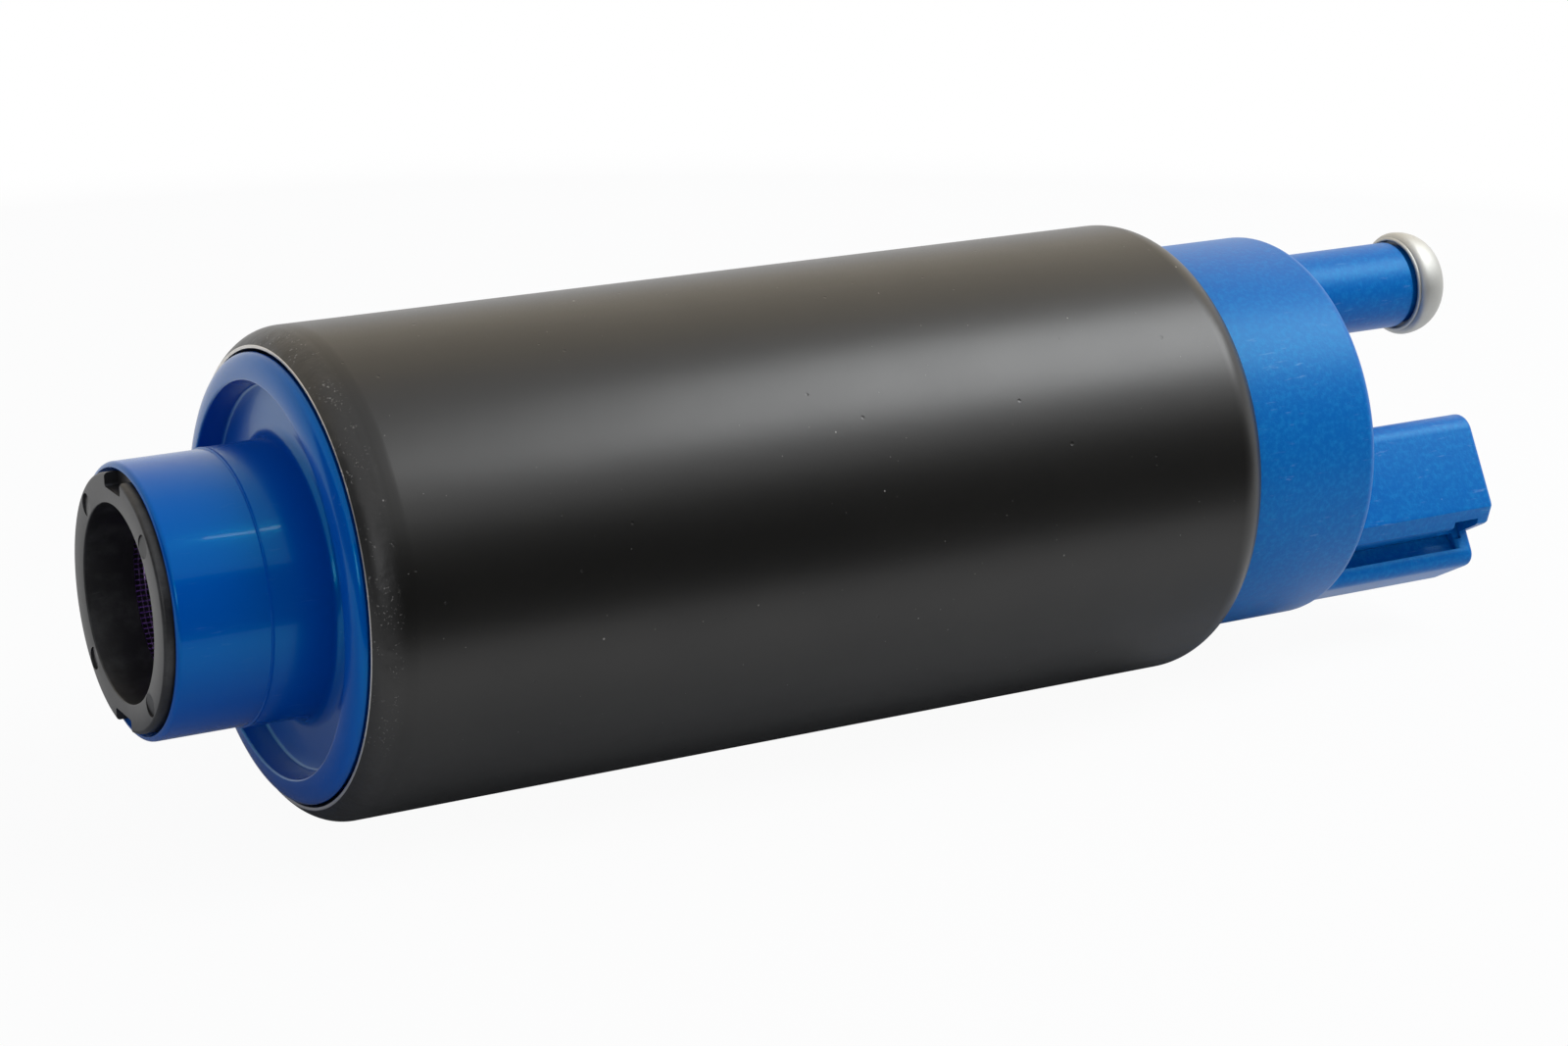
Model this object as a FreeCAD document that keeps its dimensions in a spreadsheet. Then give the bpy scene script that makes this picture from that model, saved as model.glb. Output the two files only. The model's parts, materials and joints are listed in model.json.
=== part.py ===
import FreeCAD, Part
import math
import os
import Sketcher

# In-tank fuel pump: a gerotor pump and a brushed motor clamped in a rolled steel tube.
# Frame: X runs along the tube from the inlet to the outlet, Z is up, and the origin is on the
# tube's axis, inlet_reach in from its inlet end. Lengths are in millimetres, angles in degrees.

# Driving sizes: a name, its value and what it measures.
SIZES = (
    ("casing_radius", 19.5, "outside radius of the steel tube"),
    ("casing_wall", 1.3, "wall of the tube"),
    ("casing_length", 81.4, "tube over both rolled ends"),
    ("inlet_reach", 42.85, "tube's inlet end from the origin"),
    ("roll_radius", 3.4, "outside radius of both rolled ends"),
    ("inlet_roll_turn", 55.0, "how far the inlet end is rolled in"),
    ("outlet_roll_turn", 75.0, "how far the outlet end is rolled in"),
    ("seat_gap", 0.05, "radial gap of a piece that sits in the tube"),
    ("slip_gap", 0.04, "radial gap of a running or sliding piece"),
    ("clocking", 29.0, "turn of the outlet end about the tube, as seen from the inlet"),
    ("lip_gap", 0.12, "gap between a rolled lip and what it holds"),
    ("bead_stand_out", 1.1, "inlet rim bead beyond the tube"),
    ("bead_width", 1.6, "width of the inlet rim bead"),
    ("recess_depth", 2.2, "floor of the inlet face below the bead"),
    ("recess_taper", 0.5, "how much the recess narrows towards its floor"),
    ("cover_depth", 9.5, "inlet cover inside the tube"),
    ("spigot_radius", 10.78, "inlet spigot"),
    ("spigot_length", 13.2, "inlet spigot from the recess floor"),
    ("spigot_foot", 0.9, "cone at the spigot's foot"),
    ("spigot_bevel", 0.35, "bevel of the spigot's mouth"),
    ("ring_radius", 10.05, "inlet ring"),
    ("ring_bore", 7.74, "bore of the inlet ring"),
    ("ring_stand_out", 0.75, "inlet ring beyond the spigot"),
    ("ring_length", 6.0, "length of the inlet ring"),
    ("ring_bevel", 0.3, "bevel of the ring's front edges"),
    ("notch_width", 3.4, "tool notch in the ring"),
    ("notch_reach", 1.2, "radial depth of a tool notch"),
    ("notch_length", 1.1, "axial depth of a tool notch"),
    ("screen_radius", 8.9, "inlet screen"),
    ("screen_wall", 0.5, "wall of the inlet screen"),
    ("screen_length", 13.0, "length of the inlet screen"),
    ("window_width", 3.4, "window in the screen's wall"),
    ("window_length", 9.0, "length of a window"),
    ("window_start", 1.6, "windows from the screen's open end"),
    ("vent_radius", 0.7, "vent hole in the inlet face"),
    ("relief_circle", 12.45, "radius that the relief valve lies on"),
    ("relief_turn", 82.0, "relief valve from the top, towards the front"),
    ("relief_pocket", 2.0, "radius of the relief valve's pocket"),
    ("relief_depth", 4.9, "depth of the relief valve's pocket"),
    ("relief_passage", 1.0, "passage that the relief valve shuts"),
    ("relief_head", 1.7, "radius of the relief poppet"),
    ("relief_head_length", 1.5, "relief poppet behind its nose"),
    ("relief_nose", 0.8, "nose of the relief poppet in its passage"),
    ("gallery_turn", 40.0, "turn of the groove that leads to the relief passage"),
    ("gallery_depth", 1.4, "groove from the rotors to the relief passage"),
    ("plate_thickness", 3.5, "inlet port plate"),
    ("rotor_width", 9.0, "width of both rotors"),
    ("rotor_end_gap", 0.03, "gap at each face of the rotors"),
    ("outlet_plate_thickness", 5.5, "outlet port plate"),
    ("boss_length", 3.4, "bearing boss on the outlet port plate"),
    ("boss_radius", 6.0, "radius of that boss"),
    ("outer_rotor_radius", 13.0, "outer rotor"),
    ("lobe_circle", 9.6, "radius that the outer rotor's lobes lie on"),
    ("lobe_radius", 2.4, "lobe of the outer rotor"),
    ("eccentricity", 1.2, "offset between the rotors' axes"),
    ("mesh_gap", 0.05, "gap between the rotors' lobes"),
    ("port_inner", 6.2, "inner radius of the kidney ports"),
    ("port_outer", 9.1, "outer radius of the kidney ports"),
    ("port_half_span", 68.0, "half the angle that a kidney port covers"),
    ("shaft_radius", 3.0, "motor shaft"),
    ("shaft_flat", 2.45, "drive flat from the shaft's axis"),
    ("bush_wall", 1.6, "wall of both shaft bushes"),
    ("end_play", 0.15, "axial play of the armature"),
    ("magnet_thickness", 3.8, "field magnets, radially"),
    ("air_gap", 0.55, "gap between armature and magnets"),
    ("slot_width", 3.0, "slot of the armature"),
    ("slot_floor", 7.6, "slot floor from the axis"),
    ("tooth_tip", 1.0, "windings below the armature's surface"),
    ("coil_end", 4.2, "height of the end turns"),
    ("coil_inner", 5.4, "inner radius of the end turns"),
    ("magnet_span", 138.0, "angle that a magnet covers"),
    ("magnet_margin", 2.0, "magnets short of the motor's space at each end"),
    ("clip_thickness", 0.8, "sheet of the magnet clips"),
    ("commutator_inset", 2.2, "commutator below the armature's surface"),
    ("commutator_inner", 5.4, "inner radius of the segments"),
    ("segment_thickness", 2.6, "carbon segment"),
    ("segment_slot", 0.7, "slot between segments"),
    ("hub_length", 3.0, "moulded hub behind the segments"),
    ("holder_gap", 1.2, "commutator to brush holder"),
    ("holder_flange", 6.0, "flange of the brush holder"),
    ("flow_half_span", 38.0, "half the angle that the holder's flow port covers"),
    ("well_wall", 1.2, "wall of a brush well"),
    ("well_length", 12.0, "depth of a brush well"),
    ("spring_radius", 1.9, "outside radius of the brush springs"),
    ("brush_height", 5.0, "brush, radially"),
    ("brush_width", 6.0, "brush, across"),
    ("brush_length", 7.0, "brush, along the shaft"),
    ("brush_inset", 0.2, "brushes in from the middle of the segments"),
    ("brush_gap", 0.03, "brush to commutator"),
    ("choke_across", 6.0, "choke from the middle plane"),
    ("choke_inset", 3.9, "choke above the connector's lower face"),
    ("choke_radius", 2.2, "wound choke"),
    ("choke_length", 8.0, "length of a choke"),
    ("neck_inset", 2.6, "outlet cap beyond the tube, below the tube's surface"),
    ("neck_length", 12.9, "outlet cap beyond the tube"),
    ("neck_round", 1.0, "rounding of the cap's end"),
    ("cap_engagement", 5.2, "brush holder's back below the tube's straight end"),
    ("seal_thickness", 1.2, "seal between the brush holder and the cap"),
    ("cap_wall", 2.2, "side wall of the outlet cap"),
    ("cap_end_wall", 3.0, "end wall of the outlet cap"),
    ("outlet_inset", 5.8, "outlet tube in from the cap's side"),
    ("outlet_radius", 3.92, "outlet tube"),
    ("outlet_bore", 2.9, "bore of the outlet tube"),
    ("outlet_length", 19.1, "outlet tube up to its ferrule"),
    ("check_seat_length", 2.0, "check valve seat in the cap's end wall"),
    ("check_seat_hole", 1.7, "hole in the check valve seat"),
    ("check_stem", 1.5, "stem of the check poppet"),
    ("check_head", 2.6, "check poppet"),
    ("check_length", 3.4, "check poppet behind its nose"),
    ("ferrule_radius", 4.72, "outlet ferrule"),
    ("ferrule_length", 3.0, "ferrule beyond its seam"),
    ("ferrule_bore", 2.3, "bore of the ferrule"),
    ("ferrule_stem", 9.5, "ferrule inside the tube"),
    ("ferrule_lip", 4.3, "radius of the ferrule's back edge"),
    ("shroud_half_width", 7.4, "connector across"),
    ("shroud_height", 10.3, "connector from its lower to its upper face"),
    ("shroud_inset", 3.7, "connector's lower face in from the cap's side"),
    ("shroud_length", 17.2, "connector from the cap's end"),
    ("shroud_wall", 1.2, "wall of the connector"),
    ("shroud_round", 1.0, "upper corners of the connector"),
    ("shroud_chamfer", 1.4, "lower corners of the connector"),
    ("socket_depth", 14.2, "depth of the connector's socket"),
    ("rail_height", 3.0, "key rail below the connector"),
    ("rail_crown", 1.3, "thickness of the rail's crown"),
    ("rail_web_half", 2.4, "web of the key rail"),
    ("rail_half", 3.5, "crown of the key rail"),
    ("rail_short", 0.5, "rail short of the connector's end"),
    ("rail_block", 1.7, "full-width block at the rail's end"),
    ("latch_width", 2.5, "latch window across"),
    ("latch_length", 2.6, "latch window along"),
    ("latch_from_end", 1.5, "latch window from the connector's end"),
    ("blade_thickness", 0.8, "terminal blade"),
    ("blade_height", 2.8, "terminal blade"),
    ("blade_across", 3.1, "terminal blade from the middle plane"),
    ("blade_short", 4.0, "blade short of the connector's end"),
)

# Counts of what repeats.
RING_NOTCHES = 2
SCREEN_SIDES = 12
INNER_LOBES = 6
OUTER_LOBES = INNER_LOBES + 1
ARMATURE_SLOTS = 8
ARCS_PER_LOBE = 8

# Straight runs that a round stretch of an outline is drawn with.
ROLL_RUN_COUNT = 3
BEAD_RUN_COUNT = 4
EDGE_RUN_COUNT = 2
DOME_RUN_COUNT = 3

# Shape ratios.
NOTCH_OVERSHOOT = 1.2
HOLLOW_DRAW = 0.7

FULL_TURN = 360.0
HALF_TURN = 180.0
QUARTER_TURN = 90.0
AXIS_X = FreeCAD.Vector(1, 0, 0)
ORIGIN = FreeCAD.Vector(0, 0, 0)

document = FreeCAD.newDocument("fuel_pump")
pieces = []


class Dim:
    """A length, angle or number that keeps its value and the cell formula that it comes from."""

    def __init__(self, value, text):
        self.value = float(value)
        self.text = text

    def __add__(self, other):
        other = dim(other)
        return Dim(self.value + other.value, f"({self.text} + {other.text})")

    def __sub__(self, other):
        other = dim(other)
        return Dim(self.value - other.value, f"({self.text} - {other.text})")

    def __mul__(self, other):
        other = dim(other)
        return Dim(self.value * other.value, f"({self.text} * {other.text})")

    def __truediv__(self, other):
        other = dim(other)
        return Dim(self.value / other.value, f"({self.text} / {other.text})")

    def __neg__(self):
        return dim(0) - self

    def __radd__(self, other):
        return dim(other) + self

    def __rsub__(self, other):
        return dim(other) - self

    def __rmul__(self, other):
        return dim(other) * self


def dim(number):
    """Give a Dim as it is, and a plain number as a Dim."""
    if isinstance(number, Dim):
        return number
    return Dim(number, repr(float(number)))


def sine(angle):
    angle = dim(angle)
    return Dim(math.sin(math.radians(angle.value)), f"sin({angle.text})")


def cosine(angle):
    angle = dim(angle)
    return Dim(math.cos(math.radians(angle.value)), f"cos({angle.text})")


def polar(radius, angle):
    """Give the across and up places of a point, with the angle from the top towards the back."""
    return radius * sine(angle), radius * cosine(angle)


def fill_sheet():
    """Write the driving sizes to the document's sheet and give them as Dims by name."""
    sheet = document.addObject("Spreadsheet::Sheet", "Sizes")
    named = {}
    for row, (alias, value, note) in enumerate(SIZES, start=1):
        sheet.set(f"A{row}", alias)
        sheet.set(f"B{row}", str(value))
        sheet.set(f"C{row}", note)
        sheet.setAlias(f"B{row}", alias)
        named[alias] = Dim(value, f"Sizes.{alias}")
    document.recompute()
    return named


class Named:
    """The driving sizes and what is worked out from them, each under its own name."""

    def __init__(self, named):
        self.__dict__.update(named)


k = Named(fill_sheet())

# Stations along the tube, worked out once for all the pieces.
k.casing_start = -k.inlet_reach
k.casing_end = k.casing_length - k.inlet_reach
k.straight_start = k.casing_start + k.roll_radius * sine(k.inlet_roll_turn)
k.straight_end = k.casing_end - k.roll_radius * sine(k.outlet_roll_turn)
k.roll_centre = k.casing_radius - k.roll_radius
k.roll_inside = k.roll_radius - k.casing_wall
k.tube_bore = k.casing_radius - k.casing_wall
k.seat_radius = k.tube_bore - k.seat_gap
k.bead_crest = k.casing_start - k.bead_stand_out
k.recess_floor = k.bead_crest + k.recess_depth
k.spigot_mouth = k.recess_floor - k.spigot_length
k.cover_face = k.casing_start + k.cover_depth
k.ring_front = k.spigot_mouth - k.ring_stand_out
k.ring_back = k.ring_front + k.ring_length
k.passage = k.ring_radius + k.slip_gap
k.housing_start = k.cover_face + k.plate_thickness
k.housing_length = k.rotor_width + 2 * k.rotor_end_gap
k.outlet_plate_start = k.housing_start + k.housing_length
k.motor_start = k.outlet_plate_start + k.outlet_plate_thickness
k.boss_end = k.motor_start + k.boss_length
k.cap_end = k.casing_end + k.neck_length
k.holder_back = k.straight_end - k.cap_engagement
k.holder_front = k.holder_back - k.holder_flange
k.motor_length = k.holder_front - k.motor_start
k.commutator_face = k.holder_front - k.holder_gap
k.segment_back = k.commutator_face - k.segment_thickness
k.hub_back = k.segment_back - k.hub_length
k.stack_end = k.hub_back - k.coil_end
k.stack_start = k.boss_end + k.end_play + k.coil_end
k.shaft_start = k.housing_start + k.rotor_end_gap
k.shaft_end = k.holder_back + k.end_play
k.bush_radius = k.shaft_radius + k.slip_gap + k.bush_wall
k.magnet_inner = k.seat_radius - k.magnet_thickness
k.stack_radius = k.magnet_inner - k.air_gap
k.commutator_radius = k.stack_radius - k.commutator_inset
k.brush_circle = (k.commutator_inner + k.commutator_radius) / 2 - k.brush_inset
k.brush_start = k.commutator_face + k.brush_gap
k.brush_end = k.brush_start + k.brush_length
k.well_end = k.holder_front + k.well_length
k.choke_end = k.holder_back + k.choke_length
k.cap_start = k.holder_back + k.seal_thickness
k.cap_floor = k.cap_end - k.cap_end_wall
k.neck_radius = k.casing_radius - k.neck_inset
k.cap_hollow = k.neck_radius - k.cap_wall
k.outlet_circle = k.neck_radius - k.outlet_inset
k.shroud_bottom = k.neck_radius - k.shroud_inset
k.shroud_top = k.shroud_bottom - k.shroud_height
k.choke_below = k.shroud_bottom - k.choke_inset
k.shroud_end = k.cap_end + k.shroud_length
k.seam = k.cap_end + k.outlet_length
k.check_face = k.cap_floor + k.check_seat_length
k.ferrule_end = k.seam + k.ferrule_length
k.stem_start = k.seam - k.ferrule_stem


class Circle:
    """A round loop of a sketch."""

    def __init__(self, across, up, radius):
        self.across = dim(across)
        self.up = dim(up)
        self.radius = dim(radius)


def new_body(label, clocked=False):
    """Make an empty body under the node's name, turned with the outlet end where it belongs to it."""
    body = document.addObject("PartDesign::Body", label)
    body.Label = label
    if clocked:
        body.Placement = FreeCAD.Placement(ORIGIN, FreeCAD.Rotation(-AXIS_X, k.clocking.value))
        body.setExpression("Placement.Rotation.Angle", k.clocking.text)
    pieces.append(body)
    return body


def origin_feature(body, role):
    """Find one of the body's own origin planes or axes."""
    return next(f for f in body.Origin.OriginFeatures if f.Role == role)


def bind(sketch, constraint, size):
    """Add a constraint and tie it to its formula."""
    index = sketch.addConstraint(constraint)
    sketch.setExpression(f"Constraints[{index}]", size.text)


def hold_point(sketch, geometry, end, across, up):
    """Fix one end of a line or arc, or a centre, by its two places."""
    if across.value == 0:
        sketch.addConstraint(Sketcher.Constraint("PointOnObject", geometry, end, -2))
    else:
        bind(sketch, Sketcher.Constraint("DistanceX", -1, 1, geometry, end, across.value), across)
    if up.value == 0:
        sketch.addConstraint(Sketcher.Constraint("PointOnObject", geometry, end, -1))
    else:
        bind(sketch, Sketcher.Constraint("DistanceY", -1, 1, geometry, end, up.value), up)


def arc_between(start, end, bend):
    """Give the short arc from start to end; a positive bend turns left, a negative one right."""
    chord = end - start
    half = chord.Length / 2
    left = FreeCAD.Vector(-chord.y, chord.x, 0).normalize()
    rise = math.sqrt(max(bend * bend - half * half, 0.0))
    centre = (start + end) * 0.5 + left * math.copysign(rise, bend)
    first, last = (start, end) if bend > 0 else (end, start)
    angles = [math.atan2(p.y - centre.y, p.x - centre.x) for p in (first, last)]
    circle = Part.Circle(centre, FreeCAD.Vector(0, 0, 1), abs(bend))
    return Part.ArcOfCircle(circle, angles[0], angles[1])


def draw_loop(sketch, corners):
    """Draw a closed outline; a corner's third value is the bend of the arc that leads to it."""
    corners = [(dim(c[0]), dim(c[1]), dim(c[2]) if len(c) > 2 else None) for c in corners]
    places = [FreeCAD.Vector(c[0].value, c[1].value, 0) for c in corners]
    ends = []
    for index, start in enumerate(places):
        following = (index + 1) % len(places)
        end = places[following]
        bend = corners[following][2]
        if bend is None:
            ends.append((sketch.addGeometry(Part.LineSegment(start, end), False), 1, 2))
            continue
        geometry = sketch.addGeometry(arc_between(start, end, bend.value), False)
        ends.append((geometry, 1, 2) if bend.value > 0 else (geometry, 2, 1))
    for index, (geometry, near, far) in enumerate(ends):
        following = ends[(index + 1) % len(ends)]
        sketch.addConstraint(Sketcher.Constraint("Coincident", geometry, far, following[0], following[1]))
        hold_point(sketch, geometry, near, corners[index][0], corners[index][1])
        bend = corners[(index + 1) % len(ends)][2]
        if bend is not None:
            size = bend if bend.value > 0 else -bend
            bind(sketch, Sketcher.Constraint("Radius", geometry, size.value), size)


def draw_circle(sketch, loop):
    """Draw a full circle by its centre and radius."""
    centre = FreeCAD.Vector(loop.across.value, loop.up.value, 0)
    circle = Part.Circle(centre, FreeCAD.Vector(0, 0, 1), loop.radius.value)
    geometry = sketch.addGeometry(circle, False)
    hold_point(sketch, geometry, 3, loop.across, loop.up)
    bind(sketch, Sketcher.Constraint("Radius", geometry, loop.radius.value), loop.radius)


def new_sketch(body, name, role, loops, start=None):
    """Draw loops on one of the body's origin planes, moved along its normal to start."""
    sketch = body.newObject("Sketcher::SketchObject", f"{body.Label}_{name}_outline")
    sketch.AttachmentSupport = (origin_feature(body, role), [""])
    sketch.MapMode = "FlatFace"
    if start is not None:
        sketch.AttachmentOffset = FreeCAD.Placement(FreeCAD.Vector(0, 0, start.value), FreeCAD.Rotation())
        sketch.setExpression("AttachmentOffset.Base.z", start.text)
    for loop in loops:
        if isinstance(loop, Circle):
            draw_circle(sketch, loop)
        else:
            draw_loop(sketch, loop)
    return sketch


def revolve(body, name, corners, subtract=False):
    """Turn an outline of (along, radius) corners about the tube's axis."""
    sketch = new_sketch(body, name, "XY_Plane", [corners])
    kind = "PartDesign::Groove" if subtract else "PartDesign::Revolution"
    feature = body.newObject(kind, f"{body.Label}_{name}")
    feature.Profile = sketch
    feature.ReferenceAxis = (sketch, ["H_Axis"])
    feature.Angle = FULL_TURN
    document.recompute()
    return feature


def pad(body, name, loops, start, length):
    """Pad loops drawn across the tube, from start towards the outlet."""
    sketch = new_sketch(body, name, "YZ_Plane", loops, dim(start))
    feature = body.newObject("PartDesign::Pad", f"{body.Label}_{name}")
    feature.Profile = sketch
    feature.Length = dim(length).value
    feature.setExpression("Length", dim(length).text)
    document.recompute()
    return feature


def pocket(body, name, loops, start, length):
    """Cut loops drawn across the tube, from start towards the outlet, and see that it cuts."""
    before = body.Shape.Volume
    sketch = new_sketch(body, name, "YZ_Plane", loops, dim(start))
    feature = body.newObject("PartDesign::Pocket", f"{body.Label}_{name}")
    feature.Profile = sketch
    feature.Reversed = True
    feature.Length = dim(length).value
    feature.setExpression("Length", dim(length).text)
    document.recompute()
    if not body.Shape.Volume < before:
        raise ValueError(f"{feature.Name} cuts nothing")
    return feature


def repeat_round(body, feature, count):
    """Repeat a feature evenly about the tube's axis."""
    pattern = body.newObject("PartDesign::PolarPattern", f"{feature.Name}_round")
    pattern.Originals = [feature]
    pattern.Axis = (origin_feature(body, "X_Axis"), [""])
    pattern.Angle = FULL_TURN
    pattern.Occurrences = count
    body.Tip = pattern
    document.recompute()
    return pattern


def round_run(along, radius, bend, first, last, runs):
    """Corners of a round stretch, drawn as straight runs.

    along and radius place its centre, and its angles go from outward towards the outlet.
    """
    corners = []
    for index in range(runs + 1):
        angle = first + (dim(last) - first) * (index / runs)
        corners.append((along + bend * sine(angle), radius + bend * cosine(angle)))
    return corners


def sector(inner, outer, middle, half_span):
    """Outline of a ring sector about the axis; middle is its angle from the top to the back.

    Each arc has a point half way, so that it stays under half a turn.
    """
    first = middle - half_span
    last = middle + half_span
    corners = [polar(outer, first)]
    for angle in (middle, last):
        corners.append((*polar(outer, angle), -outer))
    corners.append(polar(inner, last))
    for angle in (middle, first):
        corners.append((*polar(inner, angle), inner))
    return corners


def rectangle(left, right, low, high):
    """Outline of an upright rectangle."""
    return [(left, low), (right, low), (right, high), (left, high)]


def even_polygon(radius, sides):
    """Outline of a regular polygon about the axis, with its corners at radius and a side at the top."""
    half_side = HALF_TURN / sides
    return [polar(radius, dim(FULL_TURN * index / sides + half_side)) for index in range(sides)]


def rounded_box(half_width, low, high, low_round, high_round):
    """Outline of a box about the middle plane with its corners rounded."""
    return [
        (-half_width, low + low_round),
        (low_round - half_width, low, low_round),
        (half_width - low_round, low),
        (half_width, low + low_round, low_round),
        (half_width, high - high_round),
        (half_width - high_round, high, high_round),
        (high_round - half_width, high),
        (-half_width, high - high_round, high_round),
    ]


def tube_piece(label, inner, outer, start, length, clocked=False):
    """A plain sleeve, ring or plate about the tube's axis."""
    body = new_body(label, clocked)
    loops = [Circle(0, 0, outer)]
    if inner is not None:
        loops.append(Circle(0, 0, inner))
    pad(body, "wall", loops, start, length)
    return body


def rod_piece(label, place, radius, start, length, clocked=False):
    """A plain rod along the tube at one place across it."""
    body = new_body(label, clocked)
    pad(body, "rod", [Circle(*place, radius)], start, length)
    return body


# Tube and inlet end.


def make_casing():
    """Steel tube whose ends are rolled in over the two covers."""
    revolve(new_body("casing"), "tube", [
        *round_run(k.straight_start, k.roll_centre, k.roll_radius, -k.inlet_roll_turn, 0, ROLL_RUN_COUNT),
        *round_run(k.straight_end, k.roll_centre, k.roll_radius, 0, k.outlet_roll_turn, ROLL_RUN_COUNT),
        *round_run(k.straight_end, k.roll_centre, k.roll_inside, k.outlet_roll_turn, 0, 1),
        *round_run(k.straight_start, k.roll_centre, k.roll_inside, 0, -k.inlet_roll_turn, 1),
    ])


def make_inlet_cover():
    """Moulded cover with the inlet spigot, the recessed face, its rim bead and the relief pocket."""
    body = new_body("inlet_cover")
    roll_lip = k.roll_centre + k.roll_inside * cosine(k.inlet_roll_turn)
    bead_outer = roll_lip - k.lip_gap
    bead_bend = k.bead_width / 2
    bead_centre = bead_outer - bead_bend
    bead_foot = k.bead_crest + bead_bend
    under_roll = k.straight_start - (k.roll_inside - k.seat_gap) * sine(k.inlet_roll_turn)
    revolve(body, "form", [
        (k.cover_face, k.passage),
        (k.spigot_mouth, k.passage),
        (k.spigot_mouth, k.spigot_radius - k.spigot_bevel),
        (k.spigot_mouth + k.spigot_bevel, k.spigot_radius),
        (k.recess_floor - k.spigot_foot, k.spigot_radius),
        (k.recess_floor, k.spigot_radius + k.spigot_foot),
        (k.recess_floor, bead_outer - k.bead_width - k.recess_taper),
        *round_run(bead_foot, bead_centre, bead_bend, -HALF_TURN, 0, BEAD_RUN_COUNT),
        (under_roll, bead_outer),
        (k.straight_start, k.seat_radius),
        (k.cover_face, k.seat_radius),
    ])
    across, up = polar(k.relief_circle, -k.relief_turn)
    pocket_floor = k.cover_face - k.relief_depth
    pocket(body, "relief_pocket", [Circle(across, up, k.relief_pocket)], pocket_floor, k.relief_depth)
    through = pocket_floor - k.recess_floor
    pocket(body, "vent", [Circle(across, up, k.vent_radius)], k.recess_floor, through)


def make_inlet_ring():
    """Black ring pressed into the spigot's mouth, with two tool notches in its rim."""
    body = new_body("inlet_ring")
    revolve(body, "form", [
        (k.ring_front, k.ring_bore),
        (k.ring_front, k.ring_radius - k.ring_bevel),
        (k.ring_front + k.ring_bevel, k.ring_radius),
        (k.ring_back, k.ring_radius),
        (k.ring_back, k.ring_bore),
    ])
    half = k.notch_width / 2
    outline = rectangle(-half, half, k.ring_radius - k.notch_reach, k.ring_radius * NOTCH_OVERSHOOT)
    notch = pocket(body, "notch", [outline], k.ring_front, k.notch_length)
    repeat_round(body, notch, RING_NOTCHES)


def make_inlet_screen():
    """Flat-sided cup behind the ring, with a window for the fine mesh in every other side."""
    body = new_body("inlet_screen")
    inner = k.screen_radius - k.screen_wall
    pad(body, "cup", [even_polygon(k.screen_radius, SCREEN_SIDES)], k.ring_back, k.screen_length)
    hollow = even_polygon(inner, SCREEN_SIDES)
    pocket(body, "hollow", [hollow], k.ring_back, k.screen_length - k.screen_wall)
    half = k.window_width / 2
    outline = rectangle(-half, half, inner - 2 * k.screen_wall, k.screen_radius)
    window = pocket(body, "window", [outline], k.ring_back + k.window_start, k.window_length)
    repeat_round(body, window, SCREEN_SIDES // 2)


def make_relief_valve():
    """Poppet and spring in the inlet cover's pocket, ahead of the vent hole."""
    place = polar(k.relief_circle, -k.relief_turn)
    head_face = k.cover_face - k.brush_gap
    head_back = head_face - k.relief_head_length
    poppet = rod_piece("relief_poppet", place, k.relief_head, head_back, k.relief_head_length)
    nose = Circle(*place, k.relief_passage - 2 * k.slip_gap)
    pad(poppet, "nose", [nose], head_face, k.relief_nose)
    pocket_floor = k.cover_face - k.relief_depth
    spring_length = head_back - k.slip_gap - pocket_floor
    rod_piece("relief_spring", place, k.relief_head - 4 * k.slip_gap, pocket_floor, spring_length)


# Pump section.


def port_sector(middle):
    """Outline of one kidney port about the turn given from the top."""
    return sector(k.port_inner, k.port_outer, dim(middle), k.port_half_span)


def make_inlet_port_plate():
    """Plate with the inlet port, and the groove and passage that lead to the relief valve."""
    body = tube_piece("inlet_port_plate", None, k.seat_radius, k.cover_face, k.plate_thickness)
    pocket(body, "inlet_port", [port_sector(0)], k.cover_face, k.plate_thickness)
    across, up = polar(k.relief_circle, -k.relief_turn)
    hole = Circle(across, up, k.relief_passage)
    pocket(body, "relief_passage", [hole], k.cover_face, k.plate_thickness)
    reach_across, reach_up = polar(k.port_outer, -k.relief_turn - k.gallery_turn)
    half = k.relief_passage / 2
    gallery = [
        (across - half, up),
        (reach_across - half, reach_up),
        (reach_across + half, reach_up),
        (across + half, up),
    ]
    pocket(body, "gallery", [gallery], k.housing_start - k.gallery_depth, k.gallery_depth)


def make_gerotor_housing():
    """Ring with the offset bore that the outer rotor turns in."""
    bore = Circle(k.eccentricity, 0, k.outer_rotor_radius + k.slip_gap)
    body = new_body("gerotor_housing")
    pad(body, "ring", [Circle(0, 0, k.seat_radius), bore], k.housing_start, k.housing_length)


def make_outer_rotor():
    """Ring with seven inward lobes, on the axis that is offset towards the back."""
    body = new_body("outer_rotor")
    start = k.housing_start + k.rotor_end_gap
    root_radius = k.lobe_circle + 2 * k.eccentricity - k.lobe_radius + k.mesh_gap
    pad(body, "ring", [Circle(0, 0, k.outer_rotor_radius), Circle(0, 0, root_radius)], start, k.rotor_width)
    across, up = polar(k.lobe_circle, dim(QUARTER_TURN))
    lobe = pad(body, "lobe", [Circle(across, up, k.lobe_radius)], start, k.rotor_width)
    repeat_round(body, lobe, OUTER_LOBES)
    body.setExpression("Placement.Base.y", k.eccentricity.text)


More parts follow.
